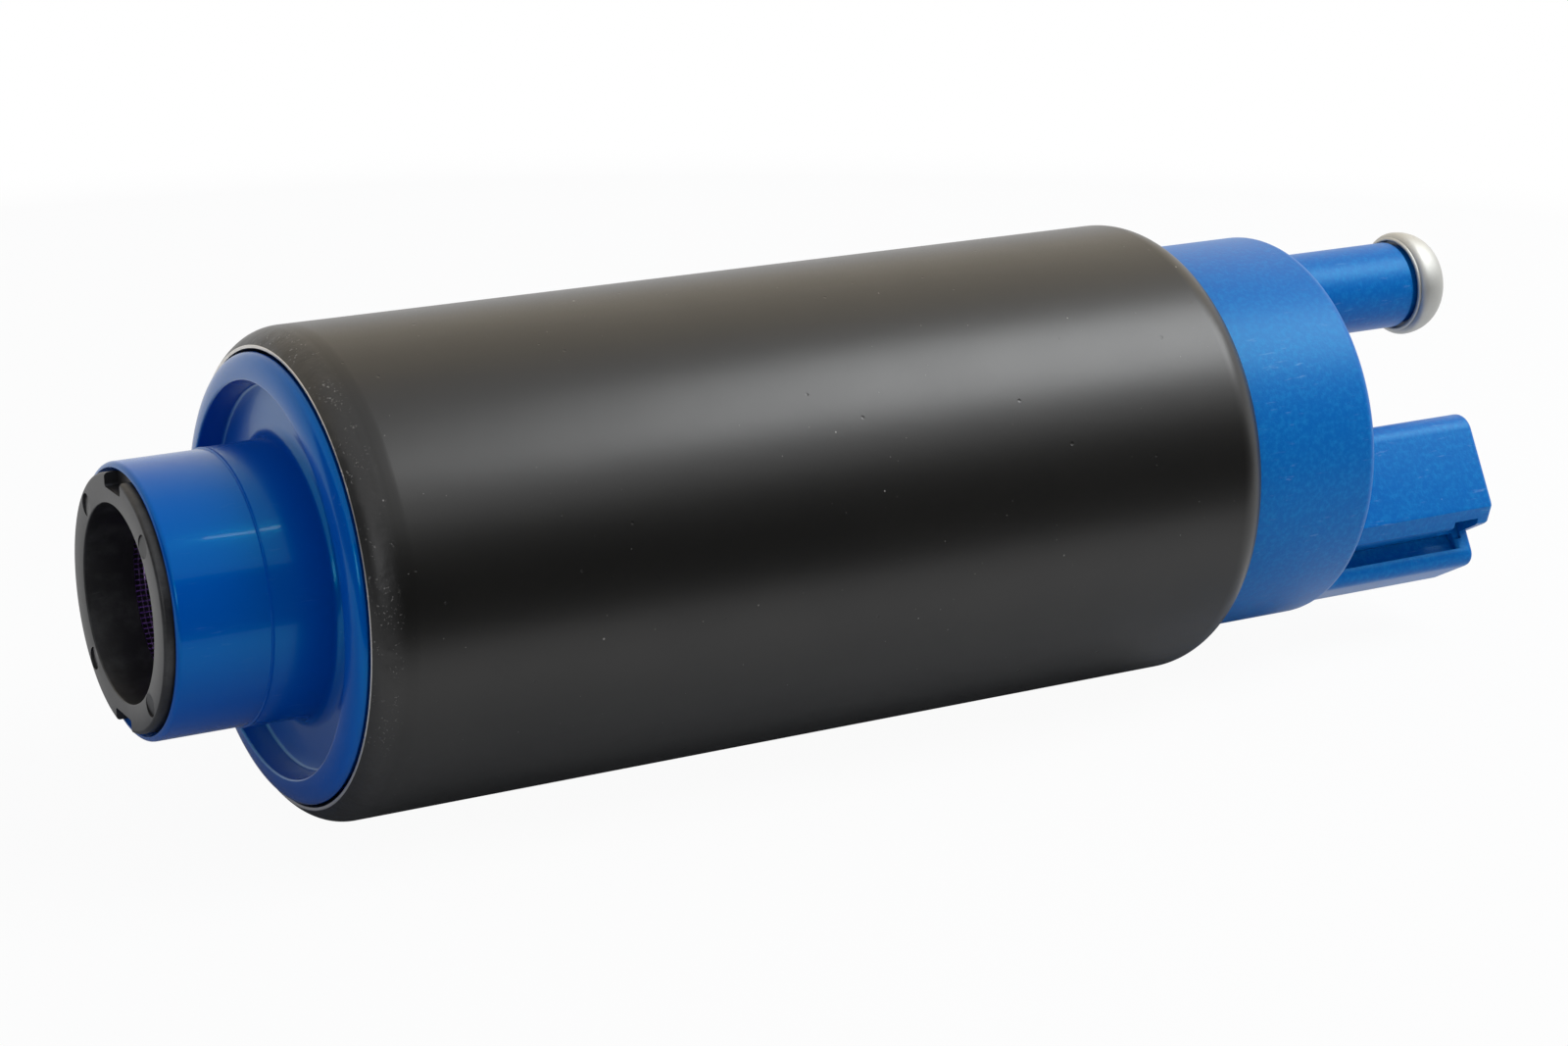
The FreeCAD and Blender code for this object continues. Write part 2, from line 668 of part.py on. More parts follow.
def rolled_point(turn):
    """Point of the inner rotor's outline: an outer lobe's centre rolled round, then offset inward."""
    swing = OUTER_LOBES * turn
    middle = k.lobe_circle.value
    offset = k.eccentricity.value
    inward = k.lobe_radius.value + k.mesh_gap.value
    slope_across = -middle * math.sin(turn) - OUTER_LOBES * offset * math.sin(swing)
    slope_up = middle * math.cos(turn) + OUTER_LOBES * offset * math.cos(swing)
    size = math.hypot(slope_across, slope_up)
    across = middle * math.cos(turn) + offset * math.cos(swing) - inward * slope_up / size
    up = middle * math.sin(turn) + offset * math.sin(swing) + inward * slope_across / size
    return FreeCAD.Vector(0, across, up)


def drawn_together(turn):
    """Move a turn towards the nearest hollow of the inner rotor, where its outline bends fastest."""
    return turn + HOLLOW_DRAW * math.sin(INNER_LOBES * turn) / INNER_LOBES


def make_inner_rotor():
    """Six-lobed rotor, drawn with arcs through the curve that the outer lobes roll round."""
    count = INNER_LOBES * ARCS_PER_LOBE
    half_step = math.pi / count
    arcs = []
    for index in range(count):
        turns = [drawn_together(half_step * (2 * index + part)) for part in range(3)]
        arcs.append(Part.Arc(*[rolled_point(turn) for turn in turns]).toShape())
    width = k.rotor_width.value
    solid = Part.Face(Part.Wire(arcs)).extrude(AXIS_X * width)
    flat = k.shaft_flat.value + k.slip_gap.value
    bore = Part.makeCylinder(k.shaft_radius.value + k.slip_gap.value, width, ORIGIN, AXIS_X)
    side = 2 * k.shaft_radius.value
    bore = bore.common(Part.makeBox(width, 2 * side, 2 * flat, FreeCAD.Vector(0, -side, -flat)))
    rotor = document.addObject("Part::Feature", "inner_rotor")
    rotor.Label = "inner_rotor"
    rotor.Shape = solid.cut(bore)
    start = k.housing_start + k.rotor_end_gap
    rotor.Placement = FreeCAD.Placement(AXIS_X * start.value, FreeCAD.Rotation())
    pieces.append(rotor)


def make_outlet_port_plate():
    """Plate with the discharge port and the boss that carries the lower bush."""
    start = k.outlet_plate_start
    body = tube_piece("outlet_port_plate", None, k.seat_radius, start, k.outlet_plate_thickness)
    pad(body, "boss", [Circle(0, 0, k.boss_radius)], k.motor_start, k.boss_length)
    pocket(body, "discharge_port", [port_sector(HALF_TURN)], start, k.outlet_plate_thickness)
    pocket(body, "bush_bore", [Circle(0, 0, k.bush_radius)], start, k.boss_end - start)


# Motor.


def make_shaft():
    """Motor shaft with two drive flats through the inner rotor."""
    body = new_body("shaft")
    pad(body, "rod", [Circle(0, 0, k.shaft_radius)], k.shaft_start, k.shaft_end - k.shaft_start)
    side = 2 * k.shaft_radius
    outline = rectangle(-side, side, k.shaft_flat, side)
    flat = pocket(body, "flat", [outline], k.housing_start, k.housing_length)
    repeat_round(body, flat, 2)


def make_lamination_stack():
    """Slotted core of the armature."""
    length = k.stack_end - k.stack_start
    body = new_body("lamination_stack")
    loops = [Circle(0, 0, k.stack_radius), Circle(0, 0, k.shaft_radius)]
    pad(body, "core", loops, k.stack_start, length)
    half = k.slot_width / 2
    outline = rectangle(-half, half, k.slot_floor, k.stack_radius + k.slot_width)
    slot = pocket(body, "slot", [outline], k.stack_start, length)
    repeat_round(body, slot, ARMATURE_SLOTS)


def make_windings():
    """Coils that fill the slots, with the end turns bulging at both ends."""
    body = new_body("windings")
    outer = k.stack_radius - k.tooth_tip
    sides = 2 * ARMATURE_SLOTS
    half = k.slot_width / 2 - k.slip_gap
    top = outer * cosine(HALF_TURN / sides) - k.slip_gap
    turns = rectangle(-half, half, k.slot_floor + k.slip_gap, top)
    slot = pad(body, "slot_turns", [turns], k.stack_start, k.stack_end - k.stack_start)
    rings = [even_polygon(outer, sides), even_polygon(k.coil_inner, sides)]
    body.AllowCompound = True
    repeat_round(body, slot, ARMATURE_SLOTS)
    length = k.coil_end - k.end_play
    pad(body, "inlet_turns", rings, k.stack_start - length, length)
    pad(body, "outlet_turns", rings, k.stack_end, length)


def make_commutator():
    """Moulded hub and the ring of carbon segments that the brushes run on."""
    tube_piece("commutator_hub", k.shaft_radius, k.commutator_radius, k.hub_back, k.hub_length)
    body = new_body("commutator_segments")
    half = dim(HALF_TURN / ARMATURE_SLOTS)
    slot_turn = k.segment_slot / k.commutator_radius * (HALF_TURN / math.pi) / 2
    outline = sector(k.commutator_inner, k.commutator_radius, dim(0), half - slot_turn)
    segment = pad(body, "segment", [outline], k.segment_back, k.segment_thickness)
    body.AllowCompound = True
    repeat_round(body, segment, ARMATURE_SLOTS)


def make_magnets():
    """Two arc magnets in the tube's bore, kept apart by two bent sheet clips."""
    start = k.motor_start + k.magnet_margin
    length = k.motor_length - 2 * k.magnet_margin
    half_span = k.magnet_span / 2
    for label, middle in (("magnet_upper", 0.0), ("magnet_lower", HALF_TURN)):
        body = new_body(label)
        pad(body, "arc", [sector(k.magnet_inner, k.seat_radius, dim(middle), half_span)], start, length)
    thick_turn = k.clip_thickness / k.seat_radius * (HALF_TURN / math.pi)
    reach = QUARTER_TURN - half_span - thick_turn / 4
    outer = k.seat_radius - k.slip_gap
    for label, middle in (("clip_front", -QUARTER_TURN), ("clip_back", QUARTER_TURN)):
        low, high = middle - reach, middle + reach
        outline = [
            polar(k.magnet_inner, low),
            polar(outer, low),
            polar(outer, high),
            polar(k.magnet_inner, high),
            polar(k.magnet_inner, high - thick_turn),
            polar(outer - k.clip_thickness, high - thick_turn),
            polar(outer - k.clip_thickness, low + thick_turn),
            polar(k.magnet_inner, low + thick_turn),
        ]
        pad(new_body(label), "sheet", [outline], start, length)


# Brush gear.


def brush_box(side, growth):
    """Outline of a brush, or of a box larger than it by growth all round."""
    half_width = k.brush_width / 2 + growth
    half_height = k.brush_height / 2 + growth
    middle = side * k.brush_circle
    return rectangle(middle - half_height, middle + half_height, -half_width, half_width)


def make_brush_holder():
    """Moulded flange with the upper bearing, the two brush wells and the flow port."""
    body = tube_piece("brush_holder", None, k.seat_radius, k.holder_front, k.holder_flange, clocked=True)
    for name, side in (("front_well", -1), ("back_well", 1)):
        outline = brush_box(side, k.slip_gap + k.well_wall)
        pad(body, name, [outline], k.holder_front, k.well_length + k.well_wall)
    for name, side in (("front_bore", -1), ("back_bore", 1)):
        pocket(body, name, [brush_box(side, k.slip_gap)], k.holder_front, k.well_length)
    flow_inner = k.bush_radius + k.well_wall * 2
    flow_outer = k.magnet_inner - k.well_wall
    flow = sector(flow_inner, flow_outer, dim(0), k.flow_half_span)
    pocket(body, "flow_port", [flow], k.holder_front, k.holder_flange)
    pocket(body, "bush_bore", [Circle(0, 0, k.bush_radius)], k.holder_front, k.holder_flange)


def make_brush_set(name, side):
    """One brush with its spring, choke and terminal."""
    brush = new_body(f"brush_{name}", clocked=True)
    pad(brush, "block", [brush_box(side, dim(0))], k.brush_start, k.brush_length)
    spring_start = k.brush_end + k.slip_gap
    place = (side * k.brush_circle, dim(0))
    rod_piece(f"brush_spring_{name}", place, k.spring_radius, spring_start, k.well_end - spring_start, True)
    place = (side * k.choke_across, -k.choke_below)
    rod_piece(f"choke_{name}", place, k.choke_radius, k.holder_back, k.choke_length, True)
    make_terminal(name, side, place)


def make_terminal(name, side, choke_place):
    """Blade in the connector's socket, with a tab on the choke's end inside the cap."""
    body = new_body(f"terminal_{name}", clocked=True)
    middle = side * k.blade_across
    half_thick = k.blade_thickness / 2
    socket_middle = -(k.shroud_top + k.shroud_bottom) / 2
    low = socket_middle - k.blade_height / 2
    high = socket_middle + k.blade_height / 2
    blade = rectangle(middle - half_thick, middle + half_thick, low, high)
    pad(body, "blade", [blade], k.choke_end, k.shroud_end - k.blade_short - k.choke_end)
    inner_edge = middle - side * half_thick
    outer_edge = choke_place[0] + side * k.choke_radius
    left, right = (inner_edge, outer_edge) if side > 0 else (outer_edge, inner_edge)
    tab = rectangle(left, right, choke_place[1] - k.choke_radius, high)
    pad(body, "tab", [tab], k.choke_end, k.blade_thickness)


# Outlet end.


def make_outlet_cap():
    """Moulded outlet cap: hollow neck, outlet tube and electrical connector in one piece."""
    body = new_body("outlet_cap", clocked=True)
    under_roll = k.roll_inside - k.seat_gap
    under_end = k.straight_end + under_roll * sine(k.outlet_roll_turn)
    groove_floor = k.roll_centre + under_roll * cosine(k.outlet_roll_turn)
    lip_end = k.casing_end + k.lip_gap
    edge_place = (k.cap_end - k.neck_round, k.neck_radius - k.neck_round, k.neck_round)
    revolve(body, "shell", [
        (k.cap_start, k.cap_hollow),
        (k.cap_start, k.seat_radius),
        (k.straight_end, k.seat_radius),
        (under_end, groove_floor),
        (lip_end, groove_floor),
        (lip_end, k.neck_radius),
        *round_run(*edge_place, 0, QUARTER_TURN, EDGE_RUN_COUNT),
        (k.cap_end, 0),
        (k.cap_floor, 0),
        (k.cap_floor, k.cap_hollow),
    ])
    add_outlet_tube(body)
    add_connector(body)
    cut_outlet_passages(body)


def add_outlet_tube(body):
    """Outlet tube, up to the back of its ferrule."""
    tube = Circle(0, k.outlet_circle, k.outlet_radius)
    pad(body, "outlet_tube", [tube], k.cap_floor, k.seam - k.cap_floor)


def add_connector(body):
    """Connector shroud with its key rail, socket and the two latch windows."""
    low, high = -k.shroud_bottom, -k.shroud_top
    outline = rounded_box(k.shroud_half_width, low, high, k.shroud_chamfer, k.shroud_round)
    pad(body, "shroud", [outline], k.cap_floor, k.shroud_end - k.cap_floor)
    rail_end = k.shroud_end - k.rail_short
    rail_low = low - k.rail_height
    crown_high = rail_low + k.rail_crown
    web = rectangle(-k.rail_web_half, k.rail_web_half, crown_high, low)
    pad(body, "rail_web", [web], k.cap_floor, rail_end - k.cap_floor)
    crown = rounded_box(k.rail_half, rail_low, crown_high, k.rail_crown / 2, k.rail_crown / 4)
    pad(body, "rail_crown", [crown], k.cap_floor, rail_end - k.cap_floor)
    block = rounded_box(k.rail_half, rail_low, low, k.rail_crown / 2, k.rail_crown / 4)
    pad(body, "rail_block", [block], rail_end - k.rail_block, k.rail_block)
    inner_half = k.shroud_half_width - k.shroud_wall
    inner_low, inner_high = low + k.shroud_wall, high - k.shroud_wall
    corner = k.shroud_round / 2
    socket = rounded_box(inner_half, inner_low, inner_high, corner, corner)
    pocket(body, "socket", [socket], k.shroud_end - k.socket_depth, k.socket_depth)
    window_start = k.shroud_end - k.latch_from_end - k.latch_length
    near, far = inner_half - corner - k.latch_width, inner_half - corner
    for name, left, right in (("front_window", -far, -near), ("back_window", near, far)):
        window = rectangle(left, right, low - k.shroud_wall / 2, inner_low + k.shroud_wall / 2)
        pocket(body, name, [window], window_start, k.latch_length)


def cut_outlet_passages(body):
    """Check valve seat, tube bore and the slots that the terminals are moulded into."""
    centre = (0, k.outlet_circle)
    pocket(body, "check_seat", [Circle(*centre, k.check_seat_hole)], k.cap_floor, k.check_seat_length)
    pocket(body, "tube_bore", [Circle(*centre, k.outlet_bore)], k.check_face, k.seam - k.check_face)
    socket_middle = -(k.shroud_top + k.shroud_bottom) / 2
    low = socket_middle - k.blade_height / 2
    high = socket_middle + k.blade_height / 2
    half_thick = k.blade_thickness / 2
    length = k.shroud_end - k.socket_depth - k.cap_floor
    for name, side in (("front_slot", -1), ("back_slot", 1)):
        middle = side * k.blade_across
        slot = rectangle(middle - half_thick, middle + half_thick, low, high)
        pocket(body, name, [slot], k.cap_floor, length)


def make_check_valve():
    """Poppet and spring in the foot of the outlet tube; the poppet rests on the cap's end wall."""
    centre = (dim(0), k.outlet_circle)
    head_start = k.check_face + k.brush_gap
    head_end = head_start + k.check_length
    poppet = rod_piece("check_poppet", centre, k.check_head, head_start, k.check_length, True)
    nose = Circle(*centre, k.check_seat_hole - 2 * k.slip_gap)
    pad(poppet, "nose", [nose], head_start - k.check_seat_length / 2, k.check_seat_length / 2)
    pad(poppet, "stem", [Circle(*centre, k.check_stem)], head_end, k.check_length)
    spring = new_body("check_spring", clocked=True)
    loops = [Circle(*centre, k.check_head - k.slip_gap), Circle(*centre, k.check_stem + 2 * k.slip_gap)]
    spring_start = head_end + k.slip_gap
    pad(spring, "coil", loops, spring_start, k.stem_start - spring_start)


def make_outlet_ferrule():
    """Stainless liner of the outlet tube, with a domed bead and a lip on the tube's end."""
    body = new_body("outlet_ferrule", clocked=True)
    crease = k.seam + k.ferrule_length / 4
    dome_bend = (k.ferrule_end - crease) / 2
    dome_place = (k.ferrule_end - dome_bend, k.ferrule_radius - dome_bend, dome_bend)
    outline = [
        (k.stem_start, k.ferrule_bore),
        (k.ferrule_end - k.slip_gap, k.ferrule_bore),
        *round_run(*dome_place, QUARTER_TURN, -QUARTER_TURN / 2, DOME_RUN_COUNT),
        (crease, k.ferrule_lip),
        (k.seam, k.ferrule_lip),
        (k.seam, k.outlet_bore),
        (k.stem_start, k.outlet_bore),
    ]
    sketch = new_sketch(body, "form", "XZ_Plane", [outline])
    feature = body.newObject("PartDesign::Revolution", "outlet_ferrule_form")
    feature.Profile = sketch
    feature.ReferenceAxis = (sketch, ["H_Axis"])
    feature.Angle = FULL_TURN
    angle = k.clocking
    places = {"y": k.outlet_circle * sine(angle), "z": k.outlet_circle * cosine(angle)}
    for letter, place in places.items():
        body.setExpression(f"Placement.Base.{letter}", place.text)
    document.recompute()


make_casing()
make_inlet_cover()
make_inlet_ring()
make_inlet_screen()
make_relief_valve()
make_inlet_port_plate()
make_gerotor_housing()
make_outer_rotor()
make_inner_rotor()
make_outlet_port_plate()
tube_piece("lower_bush", k.shaft_radius + k.slip_gap, k.bush_radius,
           k.outlet_plate_start, k.boss_end - k.outlet_plate_start)
make_shaft()
make_lamination_stack()
make_windings()
make_commutator()
make_magnets()
tube_piece("upper_bush", k.shaft_radius + k.slip_gap, k.bush_radius,
           k.holder_front, k.holder_flange, clocked=True)
make_brush_holder()
make_brush_set("front", -1)
make_brush_set("back", 1)
tube_piece("cap_seal", k.cap_hollow, k.seat_radius, k.holder_back, k.seal_thickness)
make_outlet_cap()
make_check_valve()
make_outlet_ferrule()

document.recompute()

for item in document.Objects:
    if "Invalid" in item.State or "Error" in item.State:
        raise ValueError(f"{item.Name} failed: {item.State}")
for piece in pieces:
    if piece.Shape.isNull() or not piece.Shape.isValid() or not piece.Shape.Solids:
        raise ValueError(f"{piece.Label} is not a valid solid")

os.makedirs("parts", exist_ok=True)
for piece in pieces:
    piece.Shape.exportStep(f"parts/{piece.Label}.step")
    box = piece.Shape.BoundBox
    print(f"{piece.Label}: {len(piece.Shape.Solids)} solid, x {box.XMin:.2f} to {box.XMax:.2f}")
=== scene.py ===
import sys
import json
import logging
import math
from dataclasses import dataclass
from enum import Enum
from functools import cache

import bmesh
import bpy
from mathutils import Matrix, Vector


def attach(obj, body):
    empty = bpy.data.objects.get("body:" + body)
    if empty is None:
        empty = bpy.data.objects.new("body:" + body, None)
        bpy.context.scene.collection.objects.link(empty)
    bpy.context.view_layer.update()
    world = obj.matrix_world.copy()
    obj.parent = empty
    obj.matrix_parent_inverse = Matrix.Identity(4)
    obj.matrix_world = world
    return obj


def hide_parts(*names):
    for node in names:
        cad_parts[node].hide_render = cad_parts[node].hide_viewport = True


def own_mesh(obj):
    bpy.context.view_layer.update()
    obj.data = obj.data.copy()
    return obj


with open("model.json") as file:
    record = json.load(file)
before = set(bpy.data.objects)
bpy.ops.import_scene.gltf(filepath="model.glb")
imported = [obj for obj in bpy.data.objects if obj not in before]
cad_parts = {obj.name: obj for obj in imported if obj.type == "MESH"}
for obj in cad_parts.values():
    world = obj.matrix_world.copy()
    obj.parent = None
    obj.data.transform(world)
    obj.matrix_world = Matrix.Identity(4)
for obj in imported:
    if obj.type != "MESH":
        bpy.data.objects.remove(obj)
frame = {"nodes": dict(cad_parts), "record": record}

# Looks of the in-tank fuel pump. Sizes are in millimetres until a mesh is made, and in the CAD
# frame: X from the inlet to the outlet, Z up, and the origin on the steel tube's axis.

MM = 0.001
FLOOR_Z = -19.5
OUTLET_TURN = Matrix.Rotation(math.radians(-29.0), 4, "X")
SEGMENTS = 160
FINE_SEGMENTS = 224
CLEAR = 1.0  # How far a cutting tool stands clear of the face where it goes in.

Pair = tuple[float, float]
Point = tuple[float, float, float]
Colour = tuple[float, float, float]
Pairs = tuple[Pair, ...]
Outline = list[Pair]
Sections = list[tuple[float, Outline]]
log = logging.getLogger("fuel_pump")


class Cut(Enum):
    """How one solid changes another."""

    TAKE = "DIFFERENCE"
    ADD = "UNION"


class Ray(Enum):
    """Rays of the Light Path node that meet the white backdrop."""

    CAMERA = "Is Camera Ray"
    GLOSSY = "Is Glossy Ray"
    TRANSMISSION = "Is Transmission Ray"


# Shader maths.


class Signal:
    """A socket that carries a number; its operators add Math nodes to the tree."""

    def __init__(self, graph: "Graph", socket: bpy.types.NodeSocket) -> None:
        """Wrap a socket of a graph's tree."""
        self.graph = graph
        self.socket = socket

    def _maths(self, operation: str, *values: "Signal | float", clamp: bool = False) -> "Signal":
        """Add one Math node on the values.

        Args:
            operation: Name of the node's operation.
            *values: Its operands.
            clamp: Whether the result is held between 0 and 1.

        Returns:
            The result.
        """
        names = ("Value", "Value_001", "Value_002")
        settings = {"operation": operation, "use_clamp": clamp}
        return self.graph.node("ShaderNodeMath", settings, dict(zip(names, values)))

    def __add__(self, other: "Signal | float") -> "Signal":
        """Add a number or signal."""
        return self._maths("ADD", self, other)

    def __sub__(self, other: "Signal | float") -> "Signal":
        """Subtract a number or signal."""
        return self._maths("SUBTRACT", self, other)

    def __mul__(self, other: "Signal | float") -> "Signal":
        """Multiply by a number or signal."""
        return self._maths("MULTIPLY", self, other)

    def __truediv__(self, other: "Signal | float") -> "Signal":
        """Divide by a number or signal."""
        return self._maths("DIVIDE", self, other)

    def __radd__(self, other: float) -> "Signal":
        """Add to a number."""
        return self._maths("ADD", other, self)

    def __rsub__(self, other: float) -> "Signal":
        """Subtract from a number."""
        return self._maths("SUBTRACT", other, self)

    def __rmul__(self, other: float) -> "Signal":
        """Multiply a number."""
        return self._maths("MULTIPLY", other, self)

    def __gt__(self, other: "Signal | float") -> "Signal":
        """Give 1 where this is greater, else 0."""
        return self._maths("GREATER_THAN", self, other)

    def __lt__(self, other: "Signal | float") -> "Signal":
        """Give 1 where this is less, else 0."""
        return self._maths("LESS_THAN", self, other)

    def clamp(self) -> "Signal":
        """Hold the value between 0 and 1."""
        return self._maths("ADD", self, 0.0, clamp=True)

    def highest(self, other: "Signal | float") -> "Signal":
        """Give the greater of two values."""
        return self._maths("MAXIMUM", self, other)

    def absolute(self) -> "Signal":
        """Give the value without its sign."""
        return self._maths("ABSOLUTE", self)

    def root(self) -> "Signal":
        """Give the square root."""
        return self._maths("SQRT", self)

    def sine(self) -> "Signal":
        """Give the sine of an angle in radians."""
        return self._maths("SINE", self)

    def rise(self, low: float, high: float) -> "Signal":
        """Rise smoothly from 0 at low to 1 at high.

        Args:
            low: Value that gives 0.
            high: Value that gives 1; it may be below low.

        Returns:
            The smooth step.
        """
        values = {"Value": self, "From Min": low, "From Max": high}
        return self.graph.node("ShaderNodeMapRange", {"interpolation_type": "SMOOTHSTEP"}, values)


class Graph:
    """A node tree with short ways to add its nodes."""

    def __init__(self, tree: bpy.types.NodeTree) -> None:
        """Start with an empty tree.

        Args:
            tree: Node tree of a material or world.
        """
        self.tree = tree
        tree.nodes.clear()
        self._place: Signal | None = None

    def node(self, kind: str, settings: dict | None = None, inputs: dict | None = None,
             outlet: str | None = None) -> Signal:
        """Add a node.

        Args:
            kind: Type name of the node.
            settings: Its own settings, set first.
            inputs: Values or signals by socket identifier.
            outlet: Identifier of the output to give, or None for the first that is on.

        Returns:
            The chosen output.
        """
        made = self.tree.nodes.new(kind)
        for key, value in (settings or {}).items():
            setattr(made, key, value)
        for key, value in (inputs or {}).items():
            self.feed(self._find(made.inputs, key), value)
        if outlet is None:
            return Signal(self, next(socket for socket in made.outputs if socket.enabled))
        return Signal(self, self._find(made.outputs, outlet))

    @staticmethod
    def _find(sockets: bpy.types.bpy_prop_collection, identifier: str) -> bpy.types.NodeSocket:
        """Find a socket by its identifier."""
        return next(socket for socket in sockets if socket.identifier == identifier)

    def feed(self, socket: bpy.types.NodeSocket, value: "Signal | float | tuple") -> None:
        """Link a signal to a socket, or set its constant.

        Args:
            socket: Input of a node.
            value: Signal, number, vector or colour.
        """
        if isinstance(value, Signal):
            self.tree.links.new(value.socket, socket)
        elif isinstance(value, tuple) and socket.type == "RGBA" and len(value) == 3:
            socket.default_value = (*value, 1.0)
        else:
            socket.default_value = value

    def place(self) -> Signal:
        """Give the surface point in millimetres, in the piece's own frame.

        Returns:
            The point, from nodes that are added once.
        """
        if self._place is None:
            point = self.node("ShaderNodeTexCoord", outlet="Object")
            inputs = {"Vector": point, "Scale": 1 / MM}
            self._place = self.node("ShaderNodeVectorMath", {"operation": "SCALE"}, inputs)
        return self._place

    def parts(self, vector: Signal) -> tuple[Signal, Signal, Signal]:
        """Split a vector into its three numbers.

        Args:
            vector: Vector or colour.

        Returns:
            Its X, Y and Z.
        """
        first = self.node("ShaderNodeSeparateXYZ", None, {"Vector": vector}, "X")
        outputs = first.socket.node.outputs
        return first, Signal(self, outputs["Y"]), Signal(self, outputs["Z"])

    def stretched(self, scale: Point, shift: float = 0.0) -> Signal:
        """Give the surface point with each direction scaled."""
        inputs = {"Vector": self.place(), "Scale": scale, "Location": (shift, shift, shift)}
        return self.node("ShaderNodeMapping", None, inputs)

    def noise(self, scale: float, detail: float = 2.0, vector: Signal | None = None,
              roughness: float = 0.5) -> Signal:
        """Give soft noise from about 0 to 1.

        Args:
            scale: Features a millimetre.
            detail: Octaves of finer noise.
            vector: Place to read it at, or None for the surface point.
            roughness: Strength of the finer noise.

        Returns:
            The noise.
        """
        where = vector or self.place()
        inputs = {"Vector": where, "Scale": scale, "Detail": detail, "Roughness": roughness}
        return self.node("ShaderNodeTexNoise", None, inputs, "Fac")

    def specks(self, scale: float, size: float, share: float, shift: float = 0.0) -> Signal:
        """Give small round marks, one in a share of the cells of an uneven grid.

        Args:
            scale: Cells a millimetre.
            size: Radius of a mark, as a share of a cell.
            share: Share of the cells that has a mark.
            shift: Move of the grid, so that two sets differ.

        Returns:
            1 at the middle of a mark and 0 outside.
        """
        inputs = {"Vector": self.stretched((1.0, 1.0, 1.0), shift), "Scale": scale}
        distance = self.node("ShaderNodeTexVoronoi", None, inputs, "Distance")
        chance = Signal(self, distance.socket.node.outputs["Color"])
        pick, extent, _ = self.parts(chance)
        reach = size * (0.4 + 0.6 * extent)
        return (1 - distance / reach).clamp() * (pick < share)

    def mix(self, factor: Signal | float, low: Signal | Colour, high: Signal | Colour) -> Signal:
        """Mix two colours."""
        inputs = {"Factor_Float": factor, "A_Color": low, "B_Color": high}
        return self.node("ShaderNodeMix", {"data_type": "RGBA"}, inputs, "Result_Color")

    def relief(self, height: Signal) -> Signal:
        """Give the normal of a surface with this height in millimetres."""
        inputs = {"Height": height, "Distance": MM, "Strength": 1.0}
        return self.node("ShaderNodeBump", None, inputs, "Normal")

    def surface(self, **inputs: "Signal | float | tuple") -> None:
        """Finish the material with a principled shader; underscores stand for spaces.

        Args:
            **inputs: Values or signals by socket name.
        """
        named = {key.replace("_", " "): value for key, value in inputs.items()}
        shader = self.node("ShaderNodeBsdfPrincipled", None, named, "BSDF")
        self.node_output(shader)

    def node_output(self, shader: Signal) -> None:
        """Link a shader to the material's output."""
        output = self.tree.nodes.new("ShaderNodeOutputMaterial")
        self.tree.links.new(shader.socket, output.inputs["Surface"])


def new_material(name: str) -> tuple[bpy.types.Material, Graph]:
    """Make an empty node material.

    Args:
        name: Name of the material.

    Returns:
        The material and its graph.
    """
    made = bpy.data.materials.new(name)
    made.use_nodes = True
    return made, Graph(made.node_tree)


# Finishes.


@dataclass(frozen=True)
class Finish:
    """What every finish has: a name, a main colour and a roughness."""

    name: str
    colour: Colour
    roughness: float = 0.5

    @cache
    def material(self) -> bpy.types.Material:
        """Build the node material, once for each finish.

        Returns:
            The material.
        """
        made, graph = new_material(self.name)
        self.paint(graph)
        return made

    def paint(self, graph: Graph) -> None:
        """Add the finish's nodes.

        Args:
            graph: Graph of the material.
        """
        raise NotImplementedError


@dataclass(frozen=True)
class CoatedSteel(Finish):
    """Black coating of the tube, with pits and dust, and on the inlet's rolled edge wear and a lighter tone
    that is partly a painted highlight.

    The pairs are stations in millimetres between which an effect comes in.
    """

    dust: Colour = (0.42, 0.40, 0.37)
    bare: Colour = (0.62, 0.60, 0.57)
    # Lighter tone of the rolled edge: partly rubbed coating, partly a painted highlight.
    rubbed_sheen: Colour = (0.022, 0.021, 0.02)
    roll: Pair = (-40.3, -41.6)
    valley_in: Pair = (-42.4, -41.1)
    valley_out: Pair = (-39.3, -40.7)
    worn_up: Pair = (-15.0, 3.0)
    edge_from: float = -42.72
    edge_radius: float = 17.9

    def paint(self, graph: Graph) -> None:
        """Add the finish's nodes.

        Args:
            graph: Graph of the material.
        """
        along, across, up = graph.parts(graph.place())
        radius = (across * across + up * up).root()
        cloud = graph.noise(0.12, 3.0)
        pits = graph.specks(0.5, 0.1, 0.4)
        dust = graph.specks(0.6, 0.075, 0.16, 31.0) + graph.specks(1.7, 0.11, 0.1, 57.0) * 0.6
        grain = graph.noise(6.0, 3.0)
        roll = along.rise(*self.roll)
        ripple = graph.noise(0.55, 3.0)
        valley = along.rise(*self.valley_in) * along.rise(*self.valley_out)
        chips = graph.noise(4.5, 4.0).rise(0.6, 0.68) * graph.noise(0.6, 2.0).rise(0.47, 0.6)
        worn = chips * roll * up.rise(*self.worn_up)
        edge = (along < self.edge_from) * (radius > self.edge_radius)
        colour = graph.mix(cloud.rise(0.3, 0.7), self.colour, tuple(1.5 * c for c in self.colour))
        # The rolled edge is painted lighter all round: partly rubbed coating, partly a painted highlight of
        # the roll.
        colour = graph.mix(roll * (0.35 + 0.65 * ripple), colour, self.rubbed_sheen)
        colour = graph.mix(dust.clamp(), colour, self.dust)
        colour = graph.mix(worn * 0.5, colour, self.dust)
        colour = graph.mix(edge, colour, self.bare)
        height = grain * 0.0022 + cloud * 0.02 - pits * 0.035 + dust * 0.02
        height = height + roll * ripple * 0.1 - worn * 0.03 - valley * 0.12
        graph.surface(
            Base_Color=colour,
            Metallic=edge * 0.9,
            Roughness=self.roughness + 0.08 * grain - 0.04 * cloud + 0.06 * roll,
            IOR=1.5,
            Normal=graph.relief(height),
        )


